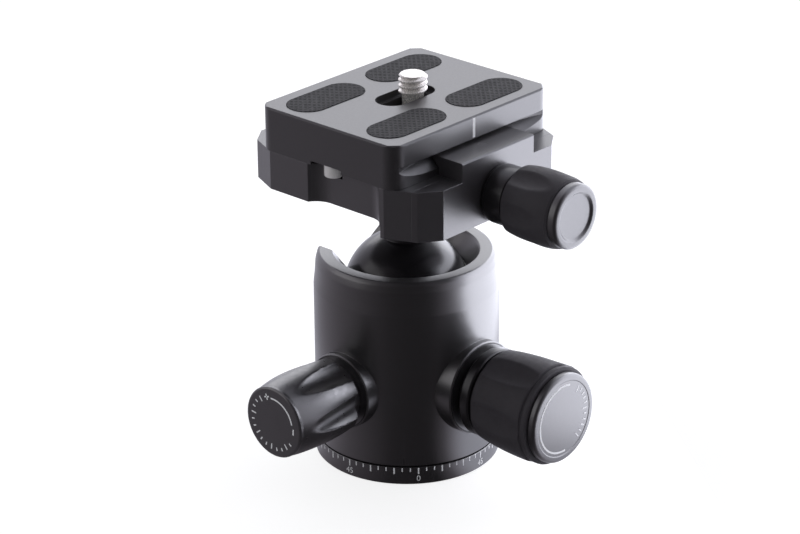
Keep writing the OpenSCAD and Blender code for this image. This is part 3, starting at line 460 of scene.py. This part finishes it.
def lettering(text, height, thick):
    """Figures as a flat solid, centred, drawn in the XY plane."""
    cap_share = 0.7
    curve = bpy.data.curves.new("figures", "FONT")
    curve.body = text
    curve.size = height / cap_share
    curve.align_x = "CENTER"
    curve.align_y = "CENTER"
    curve.extrude = thick / 2
    curve.resolution_u = 4
    carrier = bpy.data.objects.new("figures", curve)
    bpy.context.scene.collection.objects.link(carrier)
    bpy.context.view_layer.update()
    mesh = bpy.data.meshes.new_from_object(carrier.evaluated_get(bpy.context.evaluated_depsgraph_get()))
    bpy.data.objects.remove(carrier)
    bm = bmesh.new()
    bm.from_mesh(mesh)
    bpy.data.meshes.remove(mesh)
    return bm


def arc_band(r0, r1, start, end, z0, z1, steps):
    """A flat curved band, angles in degrees."""
    bm = bmesh.new()
    rows = []
    for k in range(steps + 1):
        a = math.radians(start + (end - start) * k / steps)
        section = ((r0, z0), (r1, z0), (r1, z1), (r0, z1))
        rows.append([bm.verts.new((r * math.cos(a), r * math.sin(a), z)) for r, z in section])
    for one, two in zip(rows, rows[1:]):
        for k in range(4):
            j = (k + 1) % 4
            bm.faces.new((one[k], one[j], two[j], two[k]))
    bm.faces.new(rows[0])
    bm.faces.new(rows[-1][::-1])
    return bm


def painted_arc(r0, r1, start, end, face, steps=3):
    """A painted band on a knob's flat face."""
    low = face - MARK_SUNK
    return arc_band(r0, r1, start, end, low, low + MARK_H, steps)


def dial_ticks(r_out, face, count, first, step, half, every, long, short):
    """Painted ticks inside a circle: one in every few is long, and each is twice half wide."""
    ticks = []
    for k in range(count):
        middle = first + step * k
        length = long if k % every == 0 else short
        ticks.append(painted_arc(r_out - length, r_out, middle - half, middle + half, face))
    return ticks


def helper(bm):
    """A throw-away object from a bmesh, for a boolean."""
    bmesh.ops.recalc_face_normals(bm, faces=bm.faces)
    mesh = bpy.data.meshes.new("helper")
    bm.to_mesh(mesh)
    bm.free()
    thing = bpy.data.objects.new("helper", mesh)
    bpy.context.scene.collection.objects.link(thing)
    return thing


def carve(bm, *steps):
    """The bmesh after a row of exact booleans, each given as (other bmesh, operation)."""
    piece = helper(bm)
    for other_bm, operation in steps:
        other = helper(other_bm)
        change = piece.modifiers.new("cut", "BOOLEAN")
        change.object = other
        change.operation = operation
        change.solver = "EXACT"
        bpy.context.view_layer.update()
        shape = piece.evaluated_get(bpy.context.evaluated_depsgraph_get())
        mesh = bpy.data.meshes.new_from_object(shape)
        piece.modifiers.clear()
        piece.data = mesh
        bpy.data.objects.remove(other)
    result = bmesh.new()
    result.from_mesh(piece.data)
    bpy.data.objects.remove(piece)
    return result


# ---------------------------------------------------------------- base


def make_base():
    """The turned disc with the post that carries the housing, and the pan scale round its side."""
    foot_r, foot_top, post_r, post_top = 8.5, 13.3, 7, 15.2
    thread_r, thread_top, chamfer = 6.2, 11, 0.4
    profile = rounded(
        [
            (0, 0, 0), (BASE_R - chamfer, 0, 0), (BASE_R, chamfer, 0.1), (BASE_R, BASE_H, 0.15),
            (foot_r, BASE_H, 0), (foot_r, foot_top, 0), (post_r, foot_top, 0),
            (post_r, post_top, 0.2), (0, post_top, 0),
        ]
    )
    disc = carve(spin(profile, 256), (plug(thread_r, -1, thread_top, 128), "DIFFERENCE"))
    finish_piece("base_disc", disc, Matrix(), BLACK, "base", ["pan_base"])
    parts = scale_ticks() + scale_figures()
    finish_piece("pan_scale", joined(*parts), Matrix(), WHITE, "base", ["scale_marks"])


def scale_ticks():
    """A tick every 5 degrees, longer and bolder every 15."""
    top, sunk, proud = BASE_H - 0.12, 0.1, 0.02
    long_h, long_half, short_h, short_half = 1.5, 0.16, 0.9, 0.13
    ticks = []
    for a in range(0, 360, 5):
        long = a % 15 == 0
        bottom = top - (long_h if long else short_h)
        half = math.degrees((long_half if long else short_half) / BASE_R)
        mid = SCALE_ZERO + a
        ticks.append(arc_band(BASE_R - sunk, BASE_R + proud, mid - half, mid + half, bottom, top, 2))
    return ticks


def scale_figures():
    """The figures under every 45 degrees, wrapped round the disc's side."""
    figure_h, thick, middle_z, middle_r = 1.35, 0.12, BASE_H - 2.72, BASE_R - 0.04
    figures = []
    for a in range(-135, 181, 45):
        figure = lettering(str(abs(a)), figure_h, thick)
        for v in figure.verts:
            angle = math.radians(SCALE_ZERO + a) + v.co.x / BASE_R
            r = middle_r + v.co.z
            v.co = (r * math.cos(angle), r * math.sin(angle), middle_z + v.co.y)
        figures.append(figure)
    return figures


# ---------------------------------------------------------------- housing


def notch_prism():
    """Cutter for the drop notch on the -X side: round below, and widening to a V at the rim."""
    half, rim_half, flare_start = 5.5, 11.7, 38.7
    inside, outside, above, steps = -6, -24, 1.2, 16
    right = []
    for k in range(steps + 1):
        a = -math.pi / 2 + (math.pi / 2) * k / steps
        right.append((half * math.cos(a), BALL_Z + half * math.sin(a)))
    right += [(half, flare_start), (rim_half, HOUSING_TOP), (rim_half + 0.05, HOUSING_TOP + above)]
    outline = right + [(-y, z) for y, z in reversed(right) if y > 1e-6]
    bm = bmesh.new()
    inner = [bm.verts.new((inside, y, z)) for y, z in outline]
    outer = [bm.verts.new((outside, y, z)) for y, z in outline]
    bm.faces.new(inner)
    bm.faces.new(outer[::-1])
    n = len(outline)
    for k in range(n):
        j = (k + 1) % n
        bm.faces.new((inner[k], outer[k], outer[j], inner[j]))
    return bm


def boss(matrix, r):
    """A round boss for a knob, with a chamfered edge."""
    inside, chamfer_z, chamfer_r = 12, 0.4, 0.34
    profile = [
        (0, inside, 0), (r, inside, 0), (r, BOSS_FACE - chamfer_z, 0), (r - chamfer_r, BOSS_FACE, 0.05),
        (0, BOSS_FACE, 0),
    ]
    return moved(spin(rounded(profile, 3), 128), matrix)


def bore(matrix, spindle_r, pocket_start, pocket_r):
    """Cutter for a spindle's bore and the wider pocket at its outer end."""
    inside, outside = 10, 30
    outline = [
        (0, inside), (spindle_r, inside), (spindle_r, pocket_start), (pocket_r, pocket_start),
        (pocket_r, outside), (0, outside),
    ]
    return moved(spin(outline, 96), matrix)


def index_groove(bottom):
    """Cutter for the fine groove against which the pan scale is read."""
    depth, half_w, z0, z1 = 0.15, 0.15, bottom + 0.3, bottom + 2.0
    half = math.degrees(half_w / HOUSING_R)
    return arc_band(HOUSING_R - depth, HOUSING_R + 1, INDEX_ANGLE - half, INDEX_ANGLE + half, z0, z1, 2)


def make_housing():
    """The shell with its bosses, bores, drop notch and index groove, and a bead round each large boss."""
    bottom = BASE_H + SEAM
    rim_r, funnel_r, mouth_r, slack = 16.3, 15.9, 13.3, 0.01
    profile = (
        [(BORE_R, BORE_START, 0), (BEARING_R, BORE_START, 0), (BEARING_R, bottom, 0.1)]
        + [(HOUSING_R, bottom, 0.2)]
        + [(HOUSING_R, z, 0) for z in range(10, 36, 5)]
        + [
            (HOUSING_R, 40.2, 6), (HOUSING_R - 0.3, 42.8, 3), (HOUSING_R - 0.5, 45.6, 3),
            (HOUSING_R - 0.9, 47.1, 1.2), (HOUSING_R - 1.5, HOUSING_TOP, 0.5), (rim_r, HOUSING_TOP, 0.35),
            (funnel_r, 47.4, 0.3), (mouth_r, 43.5, 0.2), (mouth_r, BORE_END, 0), (BORE_R, BORE_END, 0),
            (BORE_R, 30, 0),
        ]
    )
    shell = carve(
        spin(rounded(profile, 5), 288, closed=True),
        (boss(ON_LOCK, LOCK_BOSS_R), "UNION"),
        (boss(ON_FRICTION, FRICTION_BOSS_R), "UNION"),
        (boss(ON_PAN, PAN_BOSS_R), "UNION"),
        (plug(BORE_R + slack, BORE_START - 0.1, BORE_END - slack), "DIFFERENCE"),
        (plug(BEARING_R + slack, 3, BORE_START + slack), "DIFFERENCE"),
        (bore(ON_LOCK, spindle_r=3.05, pocket_start=21.5, pocket_r=7.6), "DIFFERENCE"),
        (bore(ON_FRICTION, spindle_r=3.35, pocket_start=18.9, pocket_r=5), "DIFFERENCE"),
        (bore(ON_PAN, spindle_r=2.65, pocket_start=18.9, pocket_r=4.2), "DIFFERENCE"),
        (notch_prism(), "DIFFERENCE"),
        (index_groove(bottom), "DIFFERENCE"),
    )
    finish_piece("housing_shell", shell, Matrix(), BLACK, "housing", ["housing"])

    inset = 0.22
    edges = (
        ("lock_boss_edge", ON_LOCK, LOCK_BOSS_R - inset),
        ("friction_boss_edge", ON_FRICTION, FRICTION_BOSS_R - inset),
    )
    for name, matrix, r in edges:
        bead = [
            (r - 0.16, BOSS_FACE - 0.16, 0), (r - 0.02, BOSS_FACE - 0.16, 0.04),
            (r + 0.02, BOSS_FACE - 0.1, 0.04), (r - 0.14, BOSS_FACE + 0.05, 0.04), (r - 0.26, BOSS_FACE, 0),
        ]
        ring = spin(rounded(bead, 3), 160, closed=True)
        finish_piece(name, ring, matrix, HUB_BLACK, "housing")


# ---------------------------------------------------------------- ball


def make_ball():
    """The ball, its neck with the spigot for the clamp, and the clamp screw's hole."""
    fillet, steps = 0.55, 96
    spigot_r, spigot_top = 4, CLAMP_BOTTOM + 4.4
    neck_top = CLAMP_BOTTOM - 0.02
    hole_r, hole_bottom = 2.55, CLAMP_BOTTOM - 8
    profile = []
    neck_angle = math.acos((NECK_R + fillet) / BALL_R)
    for k in range(steps + 1):
        a = -math.pi / 2 + (neck_angle + math.pi / 2) * k / steps
        profile.append((max(0.0, BALL_R * math.cos(a)), BALL_Z + BALL_R * math.sin(a)))
    foot = profile[-1][1]
    profile += rounded(
        [
            (NECK_R + fillet, foot, 0), (NECK_R + 0.12, foot + 0.12, 0.3), (NECK_R, foot + 0.7, 0.3),
            (NECK_R, 55, 0), (NECK_R, neck_top, 0.15), (spigot_r, neck_top, 0), (spigot_r, spigot_top, 0.2),
            (hole_r, spigot_top, 0), (hole_r, hole_bottom, 0), (0, hole_bottom, 0),
        ],
        5,
    )[1:]
    finish_piece("ball_and_neck", spin(profile, 192), Matrix(), BALL_BLACK, "ball", ["ball"])


# ---------------------------------------------------------------- knobs


def with_side(start, side, end, steps):
    """A knob's outline: corners up to its bulging side, the side, and corners after it."""
    before = rounded(start + [side[0] + (0,)], steps[0])[:-1]
    after = rounded([side[-1] + (0,)] + end, steps[1])[1:]
    return before + side + after


def make_lock_knob():
    """The ball lock: collar, fluted rubber grip, and a satin cap with its dial marks."""
    spindle_r, washer_r, washer_end, collar_r, collar_end = 3.1, 8, 24.0, 10, 26.6
    neck_r, core_r, grip_start = 9.1, 7.6, 27.3
    cap_r, cap_start, dial_r, face = 10.1, 43.3, 8.55, 45.2
    hub = rounded(
        [
            (spindle_r, KNOB_START, 0), (washer_r, KNOB_START, 0.2), (washer_r, washer_end, 0),
            (collar_r - 0.4, washer_end, 0.2), (collar_r, washer_end + 0.4, 0.2),
            (collar_r, collar_end - 0.4, 0.2), (collar_r - 0.3, collar_end, 0.2), (neck_r, collar_end, 0),
            (neck_r, grip_start + 0.2, 0), (core_r, grip_start + 0.2, 0), (core_r, cap_start - 0.1, 0),
            (0, cap_start - 0.1, 0),
        ],
        4,
    )
    collar = spin([(0, KNOB_START)] + hub)
    finish_piece("lock_collar", collar, ON_LOCK, HUB_BLACK, "lock_knob", ["lock_hub"])

    profile = with_side(
        [(core_r, grip_start, 0), (9.95, grip_start, 0.35)],
        barrel(r_max=11.4, z_max=38.5, curve_r=52, z0=grip_start + 0.45, z1=41.1, steps=56),
        [
            (11.3, 41.65, 0.35), (10.75, 41.75, 0.15), (10.72, 42.1, 0.15), (11.0, 42.25, 0.2),
            (10.98, 43.1, 0.3), (10.4, cap_start, 0.2), (core_r, cap_start, 0),
        ],
        (5, 5),
    )
    flutes = fluted(6, 10.8, depth=1.1, cutter_r=9, lean=5, z_low=grip_start, turn=30, soft=0.25)
    grip = spin(profile, 320, flutes, closed=True)
    finish_piece("lock_grip_rubber", grip, ON_LOCK, RUBBER, "lock_knob", ["lock_grip"])

    cap = rounded(
        [
            (0, cap_start, 0), (cap_r - 0.4, cap_start, 0.05), (cap_r - 0.25, cap_start + 0.3, 0.1),
            (cap_r, cap_start + 0.45, 0.15), (cap_r, face + 0.1, 1.1), (dial_r + 0.15, face + 0.1, 0.25),
            (dial_r, face, 0.1), (0, face, 0),
        ],
        8,
    )
    disc = spin(cap, 192)
    finish_piece("lock_cap_disc", disc, ON_LOCK, CAP_BLACK, "lock_knob", ["lock_cap"])

    marks_r, arc_w = 7.95, 0.43
    marks = [painted_arc(marks_r - arc_w, marks_r, 165, 365, face, 96)]
    marks += dial_ticks(marks_r, face, count=11, first=40, step=10, half=1.1, every=5, long=1.5, short=0.9)
    finish_piece("lock_cap_marks", joined(*marks), ON_LOCK, WHITE, "lock_knob")


def make_friction_knob():
    """The friction control: a fluted barrel with an arc from plus to minus and ticks on its face."""
    foot_r, grip_start, face = 6.4, 24.2, 42.5
    profile = with_side(
        [(foot_r, KNOB_START, 0), (foot_r, grip_start, 0), (8.1, grip_start, 0.4)],
        barrel(r_max=9, z_max=31.5, curve_r=52, z0=grip_start + 0.4, z1=face - 0.9, steps=64),
        [(8.1, face - 0.25, 0.7), (7.6, face, 0.3), (0, face, 0)],
        (4, 5),
    )
    flutes = fluted(6, 9, depth=2.3, cutter_r=3.6, lean=7, z_low=grip_start, turn=0, soft=0.35)
    grip = spin([(0, KNOB_START)] + profile, 360, flutes)
    finish_piece(
        "friction_barrel", grip, ON_FRICTION, KNOB_PLASTIC, "friction_control",
        ["friction_knob"],
    )

    arc_r, arc_w, ticks_r = 5.8, 0.35, 6.5
    marks = [painted_arc(arc_r - arc_w, arc_r, 12, 96, face, 48)]
    sign_r, plus_at, minus_at, half_l, half_w = 5.9, 108, -4, 0.7, 0.16
    bar = [(-half_l, -half_w), (half_l, -half_w), (half_l, half_w), (-half_l, half_w)]
    for place, turn in ((plus_at, 0), (plus_at, 90), (minus_at, 90)):
        at = (
            Matrix.Rotation(math.radians(place), 4, "Z")
            @ Matrix.Translation((sign_r, 0, face - MARK_SUNK))
            @ Matrix.Rotation(math.radians(turn), 4, "Z")
        )
        marks.append(moved(slab(bar, 0, MARK_H), at))
    marks += dial_ticks(
        ticks_r, face, count=14, first=128, step=15, half=1.4, every=3, long=1.3, short=0.75
    )
    finish_piece(
        "friction_face_marks", joined(*marks), ON_FRICTION, WHITE, "friction_control",
        ["friction_marks"],
    )


def make_clamp_knob():
    """The clamp's knob: collar, fluted rubber grip and a dished cap."""
    start, washer_r, washer_end, collar_r, collar_end = 26.52, 6.1, 27.3, 6.5, 32.5
    neck_r, core_r, grip_start = 5.9, 5, 33
    cap_r, cap_start, rim, dish = 7.1, 45.6, 47.8, 47.25
    hub = rounded(
        [
            (0, start, 0), (washer_r, start, 0.3), (washer_r, washer_end, 0),
            (collar_r, washer_end + 0.3, 0.3), (collar_r, collar_end - 0.2, 0.3), (neck_r, collar_end, 0),
            (neck_r, grip_start + 0.2, 0), (core_r, grip_start + 0.2, 0), (core_r, cap_start - 0.1, 0),
            (0, cap_start - 0.1, 0),
        ],
        4,
    )
    collar = spin(hub)
    finish_piece("clamp_collar", collar, ON_CLAMP, HUB_BLACK, "clamp_knob", ["clamp_hub"])

    profile = with_side(
        [(core_r, grip_start, 0), (7.1, grip_start, 0.35)],
        barrel(r_max=8.3, z_max=39.2, curve_r=24, z0=grip_start + 0.35, z1=cap_start - 0.4, steps=56),
        [(7.05, cap_start, 0.25), (core_r, cap_start, 0)],
        (5, 4),
    )
    flutes = fluted(6, 7.9, depth=0.8, cutter_r=6, lean=4, z_low=grip_start, turn=30, soft=0.25)
    grip = spin(profile, 320, flutes, closed=True)
    finish_piece("clamp_grip_rubber", grip, ON_CLAMP, RUBBER, "clamp_knob", ["clamp_grip"])

    cap = rounded(
        [
            (0, cap_start, 0), (cap_r - 0.1, cap_start, 0.1), (cap_r, cap_start + 0.3, 0.1),
            (cap_r, rim, 1.3), (5.5, rim, 0.5), (4.9, dish + 0.05, 0.5), (0, dish, 0),
        ],
        8,
    )
    disc = spin(cap, 192)
    finish_piece("clamp_cap_dish", disc, ON_CLAMP, CAP_BLACK, "clamp_knob", ["clamp_cap"])


def make_pan_knob():
    """The small pan lock at the back: a fluted barrel with a plain cap."""
    foot_r, grip_start, cap_start = 4, 23.6, 32.4
    profile = with_side(
        [(foot_r, KNOB_START, 0), (foot_r, grip_start, 0), (5.1, grip_start, 0.3)],
        barrel(r_max=5.4, z_max=28, curve_r=60, z0=grip_start + 0.3, z1=cap_start - 0.2, steps=30),
        [(5.2, cap_start, 0.2), (0, cap_start, 0)],
        (4, 4),
    )
    flutes = fluted(8, 5.4, depth=0.5, cutter_r=1.6, lean=2, z_low=grip_start, turn=0, soft=0.12)
    grip = spin([(0, KNOB_START)] + profile, 200, flutes)
    finish_piece("pan_barrel", grip, ON_PAN, KNOB_PLASTIC, "pan_lock", ["pan_knob"])
    cap = rounded(
        [
            (0, cap_start, 0), (4.9, cap_start, 0.1), (4.85, cap_start + 0.4, 0.25),
            (4.5, cap_start + 0.6, 0.1), (0, cap_start + 0.55, 0),
        ],
        4,
    )
    finish_piece("pan_cap_disc", spin(cap, 128), ON_PAN, CAP_BLACK, "pan_lock", ["pan_cap"])


# ---------------------------------------------------------------- plate and screws


def make_pads():
    """Four rubber pads in the plate's pockets, a little proud of its face."""
    gap, sunk, proud, edge = 0.08, 0.75, 0.12, 0.22
    pads = []
    for sx in (-1, 1):
        for sy in (-1, 1):
            pad = slab(stadium(PAD_W - gap, PAD_L - gap), PLATE_TOP - sunk, PLATE_TOP + proud, edge)
            pads.append(moved(pad, Matrix.Translation((sx * PAD_X, sy * PAD_Y, 0))))
    finish_piece("rubber_pads", joined(*pads), Matrix(), PAD, "plate", ["pads"])


def threaded_rod(r_out, r_in, z0, z1, pitch, around=72):
    """A cylinder whose side carries a real helical thread, with a chamfered tip."""
    rows_per_turn, chamfer = 20, 0.45
    root, flank = 0.12, 0.66  # shares of half a pitch
    bm = bmesh.new()
    rows = []
    count = int((z1 - z0) / pitch * rows_per_turn)
    for j in range(count + 1):
        z = z0 + (z1 - z0) * j / count
        tip = min(1.0, max(0.0, (z1 - z) / chamfer))
        row = []
        for k in range(around):
            a = TAU * k / around
            phase = ((z - z0) / pitch - k / around) % 1.0
            rise = 1 - abs(phase - 0.5) * 2
            crest = max(0.0, min(1.0, (rise - root) / flank))
            r = min(r_in + (r_out - r_in) * crest, r_out - chamfer * (1 - tip))
            row.append(bm.verts.new((r * math.cos(a), r * math.sin(a), z)))
        rows.append(row)
    for low, high in zip(rows, rows[1:]):
        for k in range(around):
            n = (k + 1) % around
            bm.faces.new((low[k], low[n], high[n], high[k]))
    bm.faces.new(rows[0][::-1])
    bm.faces.new(rows[-1])
    return bm


def make_camera_screw():
    """The threaded stud, with the shank and head that the slider keeps under the plate."""
    thread_r, thread_core_r, thread_top, pitch = 3.175, 2.6, 87.9, 1.27
    head_r, head_bottom, head_top = 4.9, 75.6, 78.08
    shank_r, shank_top = 2.4, PLATE_TOP + 0.3
    thread = threaded_rod(thread_r, thread_core_r, PLATE_TOP + 0.2, thread_top, pitch)
    shank = rounded(
        [
            (0, head_bottom, 0), (head_r, head_bottom, 0.3), (head_r, head_top, 0.2), (shank_r, head_top, 0),
            (shank_r, shank_top, 0), (0, shank_top, 0),
        ],
        4,
    )
    stud = joined(thread, spin(shank, 96))
    at = Matrix.Translation((0, CAMERA_SCREW_Y, 0))
    finish_piece("camera_stud", stud, at, STEEL, "camera_screw", ["camera_screw"])


def make_safety_screws():
    """One screw under each end of the plate, with a socket in its head."""
    head_r, head_bottom, seat = 2.1, 71.8, 74.72
    socket_r, socket_top, shank_r, shank_top = 0.9, 73.4, 1.25, 78.5
    profile = rounded(
        [
            (0, socket_top, 0), (socket_r, socket_top, 0), (socket_r + 0.05, head_bottom, 0.05),
            (head_r, head_bottom, 0.3), (head_r, seat, 0.1), (shank_r, seat, 0), (shank_r, shank_top, 0),
            (0, shank_top, 0),
        ],
        4,
    )
    screws = []
    for side in (-1, 1):
        screws.append(moved(spin(profile, 64), Matrix.Translation((0, side * SAFETY_SCREW_Y, 0))))
    both = joined(*screws)
    finish_piece("safety_screw_heads", both, Matrix(), NICKEL, "plate", ["safety_screws"])


dress_nodes()
make_base()
make_housing()
make_ball()
make_lock_knob()
make_friction_knob()
make_clamp_knob()
make_pan_knob()
make_pads()
make_camera_screw()
make_safety_screws()

# ---------------------------------------------------------------- studio

# The camera that was fitted to the photo. The origin's pixel and its depth set where it stands.
AZIMUTH, ELEVATION, ROLL = 42.5, 23.62, -0.45
FOCAL_PX, DEPTH = 3018.0, 0.68216
IMAGE_PX, ORIGIN_PX = (800, 534), (407.54, 442.41)
SENSOR_MM = 36

# What the black metal mirrors: dark on the camera's side, white to the right and beyond. Each
# direction is in degrees from the camera's side, counted to its right, with its brightness.
STUDIO = (
    (-150, 0.85), (-115, 0.4), (-85, 0.22), (-50, 0.12), (-20, 0.045), (32, 0.025), (49, 0.2),
    (63, 0.7), (76, 1.0), (179, 1.0),
)
BEYOND = (0.95, 0.96, 1.08, 1)

# Near the object the floor mirrors a narrower dark part, since the camera stands far off.
NARROW_AT, PLAIN_AT, NARROWING = 0.022, 0.075, 1.55


def studio_tone(value):
    """The studio's colour at a brightness: faintly pink where it is dark, blue where it is bright."""
    red = value * (1.05 - 0.07 * value)
    green = value * (0.93 + 0.06 * value)
    blue = value * (1.06 + 0.07 * value)
    return red, green, blue, 1


def narrowed(tree, turn, coordinates):
    """The direction as a share of a turn, spread about its middle the more, the nearer the place."""
    length = tree.nodes.new("ShaderNodeVectorMath")
    length.operation = "LENGTH"
    tree.links.new(coordinates, length.inputs[0])
    factor = tree.nodes.new("ShaderNodeMapRange")
    limits = {"From Min": NARROW_AT, "From Max": PLAIN_AT, "To Min": NARROWING, "To Max": 1.0}
    for key, value in limits.items():
        factor.inputs[key].default_value = value
    tree.links.new(length.outputs["Value"], factor.inputs["Value"])
    centred, scaled, back = (tree.nodes.new("ShaderNodeMath") for _ in range(3))
    centred.operation, scaled.operation, back.operation = "SUBTRACT", "MULTIPLY", "ADD"
    centred.inputs[1].default_value = back.inputs[1].default_value = 0.5
    tree.links.new(turn, centred.inputs[0])
    tree.links.new(centred.outputs[0], scaled.inputs[0])
    tree.links.new(factor.outputs[0], scaled.inputs[1])
    tree.links.new(scaled.outputs[0], back.inputs[0])
    return back.outputs[0]


def surround(tree, coordinates, near_object=False):
    """Colour of the studio by direction round the object."""
    mapping = tree.nodes.new("ShaderNodeMapping")
    mapping.inputs["Rotation"].default_value = (0, 0, math.radians(90 - AZIMUTH))
    tree.links.new(coordinates, mapping.inputs["Vector"])
    around = tree.nodes.new("ShaderNodeTexGradient")
    around.gradient_type = "RADIAL"
    tree.links.new(mapping.outputs[0], around.inputs["Vector"])
    turn = around.outputs["Fac"]
    if near_object:
        turn = narrowed(tree, turn, coordinates)
    ramp = tree.nodes.new("ShaderNodeValToRGB")
    tree.links.new(turn, ramp.inputs["Fac"])
    stops = ramp.color_ramp.elements
    while len(stops) > 1:
        stops.remove(stops[-1])
    stops[0].position, stops[0].color = 0.0, BEYOND
    for degrees, value in STUDIO:
        stops.new(0.5 + degrees / 360).color = studio_tone(value)
    return ramp.outputs["Color"]


def backdrop():
    """The floor's material: pale to the camera, and the studio's surround to the object's gloss."""
    m = Nodes("backdrop")
    m.tree.nodes.remove(m.bsdf)
    path = m.add("ShaderNodeLightPath")
    place = m.add("ShaderNodeTexCoord")
    soft = m.add("ShaderNodeBsdfDiffuse", Color=(0.86, 0.86, 0.87, 1))
    pale = m.add("ShaderNodeBsdfDiffuse", Color=(0.4, 0.4, 0.41, 1))
    glow = m.add("ShaderNodeEmission", Color=(1, 1, 1, 1), Strength=0.8)
    both = m.add("ShaderNodeAddShader")
    m.link(pale.outputs[0], both.inputs[0])
    m.link(glow.outputs[0], both.inputs[1])
    seen = m.add("ShaderNodeMixShader")
    m.link(path.outputs["Is Camera Ray"], seen.inputs[0])
    m.link(soft.outputs[0], seen.inputs[1])
    m.link(both.outputs[0], seen.inputs[2])
    mirrored = m.add("ShaderNodeEmission", Strength=1.0)
    m.link(surround(m.tree, place.outputs["Object"], near_object=True), mirrored.inputs["Color"])
    keep = m.add("ShaderNodeMixShader")
    m.link(path.outputs["Is Glossy Ray"], keep.inputs[0])
    m.link(seen.outputs[0], keep.inputs[1])
    m.link(mirrored.outputs[0], keep.inputs[2])
    m.link(keep.outputs[0], m.out.inputs[0])
    return m.mat


def make_floor():
    """A wide pale floor, a hair under the base so that the two don't flicker."""
    half_size, drop = 6, 0.00002
    bm = bmesh.new()
    bmesh.ops.create_grid(bm, x_segments=8, y_segments=8, size=half_size)
    mesh = bpy.data.meshes.new("floor")
    bm.to_mesh(mesh)
    bm.free()
    mesh.materials.append(backdrop())
    floor = bpy.data.objects.new("floor", mesh)
    floor.location.z = -drop
    bpy.context.scene.collection.objects.link(floor)


def make_world():
    """White to the camera, the studio's surround to gloss, and an even fill to everything else."""
    world = bpy.data.worlds.new("studio")
    bpy.context.scene.world = world
    world.use_nodes = True
    nodes, links = world.node_tree.nodes, world.node_tree.links
    nodes.clear()
    out = nodes.new("ShaderNodeOutputWorld")
    path = nodes.new("ShaderNodeLightPath")
    place = nodes.new("ShaderNodeTexCoord")
    seen = nodes.new("ShaderNodeBackground")
    seen.inputs["Color"].default_value = (1, 1, 1, 1)
    mirrored = nodes.new("ShaderNodeBackground")
    links.new(surround(world.node_tree, place.outputs["Generated"]), mirrored.inputs["Color"])
    fill = nodes.new("ShaderNodeBackground")
    fill.inputs["Color"].default_value = (0.95, 0.96, 1.0, 1)
    fill.inputs["Strength"].default_value = 0.45
    unseen = nodes.new("ShaderNodeMixShader")
    links.new(path.outputs["Is Glossy Ray"], unseen.inputs[0])
    links.new(fill.outputs[0], unseen.inputs[1])
    links.new(mirrored.outputs[0], unseen.inputs[2])
    mix = nodes.new("ShaderNodeMixShader")
    links.new(path.outputs["Is Camera Ray"], mix.inputs[0])
    links.new(unseen.outputs[0], mix.inputs[1])
    links.new(seen.outputs[0], mix.inputs[2])
    links.new(mix.outputs[0], out.inputs[0])


def panel(name, heading, distance, along, height, size, radiance, tilt, colour=(1, 1, 1)):
    """A soft panel standing round the object, hidden from the camera.

    The heading is in degrees from the camera's side, counted to its right. The panel is moved
    along its own width, leans by the tilt, and is as bright as a white of the given radiance.
    """
    data = bpy.data.lights.new(name, "AREA")
    data.shape = "RECTANGLE"
    data.size, data.size_y = size
    data.energy = radiance * math.pi * size[0] * size[1]
    data.color = colour
    thing = bpy.data.objects.new(name, data)
    bpy.context.scene.collection.objects.link(thing)
    thing.visible_camera = False
    turn = math.radians(heading - 90 + AZIMUTH)
    outward = Vector((math.cos(turn), math.sin(turn), 0))
    sideways = Vector((-math.sin(turn), math.cos(turn), 0))
    thing.location = outward * distance + sideways * along + Vector((0, 0, height))
    facing = -outward - Vector((0, 0, math.tan(math.radians(tilt))))
    thing.rotation_euler = facing.to_track_quat("-Z", "Y").to_euler()


def make_camera():
    """Stands the camera so that the model's origin falls on its pixel of the photo."""
    a, e, r = (math.radians(v) for v in (AZIMUTH, ELEVATION, ROLL))
    back = Vector((math.sin(a) * math.cos(e), -math.cos(a) * math.cos(e), math.sin(e)))
    level = Vector((math.cos(a), math.sin(a), 0))
    rise = back.cross(level)
    right = level * math.cos(r) + rise * math.sin(r)
    up = rise * math.cos(r) - level * math.sin(r)
    x = (ORIGIN_PX[0] - IMAGE_PX[0] / 2) / FOCAL_PX * DEPTH
    y = -(ORIGIN_PX[1] - IMAGE_PX[1] / 2) / FOCAL_PX * DEPTH
    place = back * DEPTH - right * x - up * y
    data = bpy.data.cameras.new("camera")
    data.sensor_width = SENSOR_MM
    data.lens = FOCAL_PX / IMAGE_PX[0] * SENSOR_MM
    data.clip_start = 0.05
    camera = bpy.data.objects.new("camera", data)
    turn = Matrix((right, up, back)).transposed().to_4x4()
    camera.matrix_world = Matrix.Translation(place) @ turn
    bpy.context.scene.collection.objects.link(camera)
    bpy.context.scene.camera = camera


make_floor()
make_world()
panel(
    "right_panel", heading=100, distance=0.089, along=0.085, height=0.06, size=(0.27, 0.15), radiance=2.6,
    tilt=-25, colour=(0.9, 0.91, 1),
)
panel("back_panel", heading=175, distance=0.7, along=0, height=0.42, size=(1.1, 0.5), radiance=1.1, tilt=20)
panel("left_panel", heading=-80, distance=0.6, along=0, height=0.3, size=(0.6, 0.4), radiance=0.5, tilt=15)
make_camera()

bpy.context.scene.view_settings.view_transform = "Standard"
